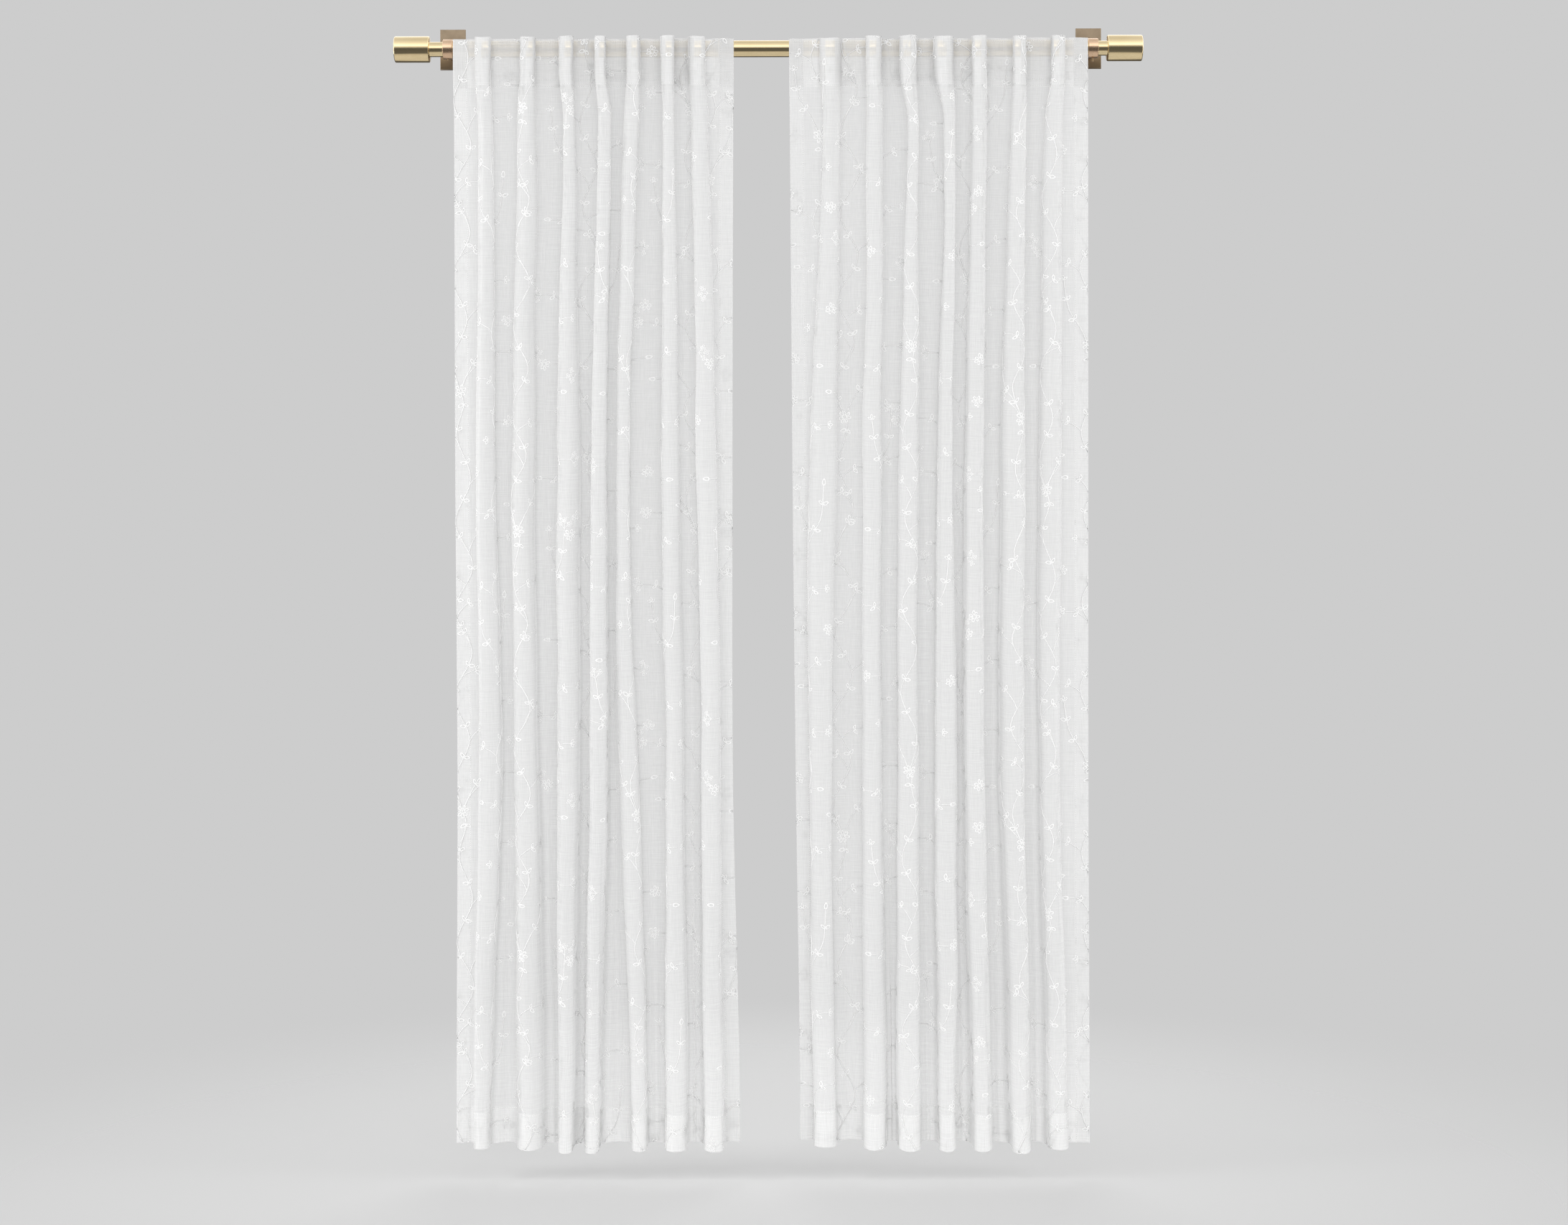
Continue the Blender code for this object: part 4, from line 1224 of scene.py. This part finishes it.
# The head's outer end, its rounded rims, then the neck and the plug inside the tube
def buildFinial(side):
    sizes = hardware
    sign = -1 if side == "left" else 1
    rodEnd = ringCentres[side] + sign * sizes["ringWidth"] / 2
    tip = sign * sizes["overall"] / 2
    base = tip - sign * sizes["headLength"]
    head, neck = sizes["head"] / 2, sizes["neck"] / 2
    profile = [(tip, 0.0), (tip, head * 0.5)]
    profile += sorted(roundCorner(tip, head, -sign, -1, sizes["headRound"]), key=lambda point: point[1])
    profile += sorted(roundCorner(base, head, sign, -1, sizes["headRound"]), key=lambda point: -point[1])
    hollow, dip, slope = sizes["neckHollow"], sizes["neckDip"], sizes["plugSlope"]
    profile += [(base, neck + hollow), (base - sign * dip, neck + dip), (base - sign * hollow, neck)]
    inside = rodEnd - sign * sizes["plug"]
    profile += [(inside + sign * slope, neck), (inside, neck - slope), (inside, 0.0)]
    return turnedPiece(f"finial{side.capitalize()}", profile, satinBrass)


def barMesh(axis, middle, diameter, length):
    turn = Matrix.Rotation(math.pi / 2, 4, "X") if axis == "Y" else Matrix.Identity(4)
    spot = Vector((middle[0] * mm, rodY + middle[1] * mm, rodZ + middle[2] * mm))
    bm = bmesh.new()
    radius = diameter / 2 * mm
    bmesh.ops.create_cone(bm, cap_ends=True, segments=hardware["barSides"], radius1=radius, radius2=radius,
                          depth=length * mm, matrix=Matrix.Translation(spot) @ turn)
    return meshFrom(bm, "bar")


# A ring with its arm joined on and the screw's hole cut through its underside
def buildBracket(side):
    sizes = hardware
    centre = ringCentres[side]
    half, outer, inner = sizes["ringWidth"] / 2, sizes["ring"] / 2, sizes["ringBore"] / 2
    ring = turnedPiece(f"bracket{side.capitalize()}",
                       tubeProfile(centre - half, centre + half, outer, inner, sizes["ringRound"]), rosyBrass,
                       closed=True)
    root, armEnd = sizes["armRoot"], sizes["projection"] - sizes["plate"][1] - sizes["gap"]
    arm = barMesh("Y", (centre, (root + armEnd) / 2, 0.0), sizes["arm"], armEnd - root)
    hole = barMesh("Z", (centre, 0.0, -outer), sizes["screwHole"], 3 * (outer - inner))
    bars = []
    for operation, mesh in (("UNION", arm), ("DIFFERENCE", hole)):
        bars.append(linkObject("bar", mesh, rosyBrass))
        change = ring.modifiers.new(operation, "BOOLEAN")
        change.operation = operation
        change.solver = "EXACT"
        change.object = bars[-1]
    made = evaluatedMesh(ring)
    ring.modifiers.clear()
    ring.data = made
    for bar in bars:
        bpy.data.objects.remove(bar)
    made.shade_smooth()
    made.set_sharp_from_angle(angle=math.radians(32))
    return ring


def buildScrew(side):
    sizes = hardware
    top = -sizes["rod"] / 2 - sizes["gap"]
    bottom = -sizes["ring"] / 2 - screwProud[side]
    radius, pitch = sizes["screw"] / 2, sizes["screwPitch"]
    profile = [(top, 0.0), (top, radius * 0.6), (top - 0.5, radius - 0.25)]
    for k in range(int((top - bottom - 1.6) / pitch)):
        start = top - 0.7 - k * pitch
        profile += [(start, radius - 0.3), (start - pitch * 0.4, radius)]
    profile += [(bottom + 0.4, radius - 0.1), (bottom, radius - 0.5), (bottom, radius * 0.5),
                (bottom + 1.0, radius * 0.45), (bottom + 1.0, 0.0)]
    return turnedPiece(f"setScrew{side.capitalize()}", profile, screwBrass, "Z", (ringCentres[side], 0.0))


# A flat plate whose front rims are rounded
def buildPlate(side):
    sizes = hardware
    bm = bmesh.new()
    bmesh.ops.create_cube(bm, size=1.0)
    bmesh.ops.scale(bm, vec=Vector(sizes["plate"]) * mm, verts=bm.verts)
    rims = [edge for edge in bm.edges if all(vert.co.y < 0 for vert in edge.verts)]
    bmesh.ops.bevel(bm, geom=rims, offset=sizes["plateRound"] * mm, segments=4, profile=0.5, affect="EDGES")
    place = Vector((ringCentres[side] * mm, rodY + (sizes["projection"] - sizes["plate"][1] / 2) * mm,
                    rodZ + sizes["plateRaise"] * mm))
    bmesh.ops.translate(bm, vec=place, verts=bm.verts)
    mesh = meshFrom(bm, "wallPlate")
    mesh.shade_smooth()
    mesh.set_sharp_from_angle(angle=math.radians(50))
    return linkObject(f"wallPlate{side.capitalize()}", mesh, bronzeAndPaintedShade)


rodPiece = buildRod()
metalPieces = [(rodPiece, "rod", "rod_brass")]
for side in ringCentres:
    metalPieces += [(buildFinial(side), f"finial_{side}", "rod_brass"),
                    (buildBracket(side), f"bracket_{side}", "bracket_brass"),
                    (buildScrew(side), f"set_screw_{side}", "screw_brass"),
                    (buildPlate(side), f"wall_plate_{side}", "plate_bronze")]
print("hardware", len(metalPieces))

for piece, node, slotName in metalPieces:
    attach(piece, "root")
    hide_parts(node)
for (side, number), piece in tabPieces.items():
    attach(piece, "root")
    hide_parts(f"back_tab_{side}_{number}")
for side, piece in panelPieces.items():
    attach(piece, "root")
    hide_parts(f"panel_{side}")
    for extra in needlework[side]:
        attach(extra, "root")


# Floor, world, lights and camera

studio = {
    "backdrop": 0.61, "ambient": 0.55,
    "floor": 2.4, "floorFade": 5.5, "floorDrop": 0.05, "floorTone": 0.575, "floorGlow": 0.07,
    "camera": (0.028, -5.011, 1.035), "lens": 59.38, "sensor": 36.0, "roll": 0.12,
}
Lamp = namedtuple("Lamp", "name place aim size power mirrored")
lamps = (
    Lamp("sideLeft", (-3.3, -0.95, 1.4), (0.0, 0.0, 1.0), (1.2, 2.8), 54.0, True),
    Lamp("sideRight", (3.3, -0.85, 1.4), (0.0, 0.0, 1.0), (1.2, 2.8), 40.0, True),
    Lamp("overhead", (0.0, -1.6, 3.9), (0.0, 0.0, 1.7), (3.2, 1.2), 14.0, False),
    Lamp("front", (0.05, -5.4, 0.9), (0.0, 0.0, 0.9), (3.4, 2.2), 172.0, False),
    Lamp("behind", (0.3, 3.2, 1.9), (0.0, 0.0, 1.1), (2.6, 2.2), 70.0, False),
)

# What polished metal mirrors, from straight below to straight above, as (share of the way up, grey or colour)
mirrorStops = (
    (0.0, (0.80, 0.78, 0.75)), (0.09, (0.66, 0.64, 0.61)), (0.15, (0.14, 0.14, 0.14)),
    (0.50, (0.11, 0.11, 0.11)), (0.55, (0.62, 0.62, 0.62)), (0.585, (0.40, 0.40, 0.40)),
    (0.67, (2.0, 2.0, 1.97)), (0.88, (1.15, 1.15, 1.15)), (1.0, (0.8, 0.8, 0.8)))


# A pale disc that fades out towards its rim
def buildFloor():
    low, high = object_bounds()
    bm = bmesh.new()
    bmesh.ops.create_circle(bm, cap_ends=True, segments=96, radius=studio["floor"])
    bmesh.ops.translate(bm, vec=(0.0, 0.0, low[2] - studio["floorDrop"]), verts=bm.verts)
    material, graph = newMaterial("pale floor")
    x, y, _ = graph.axes(graph.get("ShaderNodeTexCoord", name="Object"))
    fade = graph.maths("MAXIMUM", 1.0 - (x * x + y * y) / studio["floorFade"], 0.0)
    finishMaterial(graph, {
        "Base Color": (*[studio["floorTone"]] * 3, 1), "Roughness": 0.9, "Specular IOR Level": 0.1,
        "Alpha": fade * fade, "Emission Color": (1.0, 1.0, 1.0, 1.0),
        "Emission Strength": studio["floorGlow"]})
    linkObject("floor", meshFrom(bm, "floor"), material)


# The camera, the metal's reflections and the light each have a world of their own
def buildWorld():
    world = bpy.data.worlds.new("studio")
    bpy.context.scene.world = world
    world.use_nodes = True
    world.node_tree.nodes.clear()
    graph = Graph(world.node_tree)
    path = graph.add("ShaderNodeLightPath")
    height = graph.axes(graph.get("ShaderNodeTexCoord", name="Generated"))[2] * 0.5 + 0.5
    ramp = graph.get("ShaderNodeValToRGB", {"stops": mirrorStops}, {"Fac": height})
    mirrored, lit, seen = (
        graph.get("ShaderNodeBackground", None, {"Color": colour, "Strength": strength})
        for colour, strength in ((ramp, 1.0), ((1.0, 1.0, 1.0, 1), studio["ambient"]),
                                 ((1.0, 1.0, 1.0, 1), studio["backdrop"])))
    soft = graph.get("ShaderNodeMixShader", None, {0: graph.wire(path, "Is Glossy Ray"), 1: lit, 2: mirrored})
    both = graph.get("ShaderNodeMixShader", None, {0: graph.wire(path, "Is Camera Ray"), 1: soft, 2: seen})
    graph.add("ShaderNodeOutputWorld", None, {"Surface": both})


def buildLamps():
    for lamp in lamps:
        light = bpy.data.lights.new(lamp.name, "AREA")
        light.shape = "RECTANGLE"
        light.size, light.size_y = lamp.size
        light.energy = lamp.power
        holder = linkObject(lamp.name, light)
        holder.visible_camera = False
        holder.visible_glossy = lamp.mirrored
        holder.location = lamp.place
        holder.rotation_euler = (Vector(lamp.aim) - Vector(lamp.place)).to_track_quat("-Z", "Y").to_euler()


def buildCamera():
    camera = bpy.data.cameras.new("camera")
    camera.lens = studio["lens"]
    camera.sensor_width = studio["sensor"]
    holder = linkObject("camera", camera)
    holder.location = studio["camera"]
    holder.rotation_euler = (math.pi / 2, math.radians(studio["roll"]), 0.0)
    bpy.context.scene.camera = holder


buildFloor()
buildWorld()
buildLamps()
buildCamera()
bpy.context.scene.view_settings.view_transform = "Standard"
print("studio set")
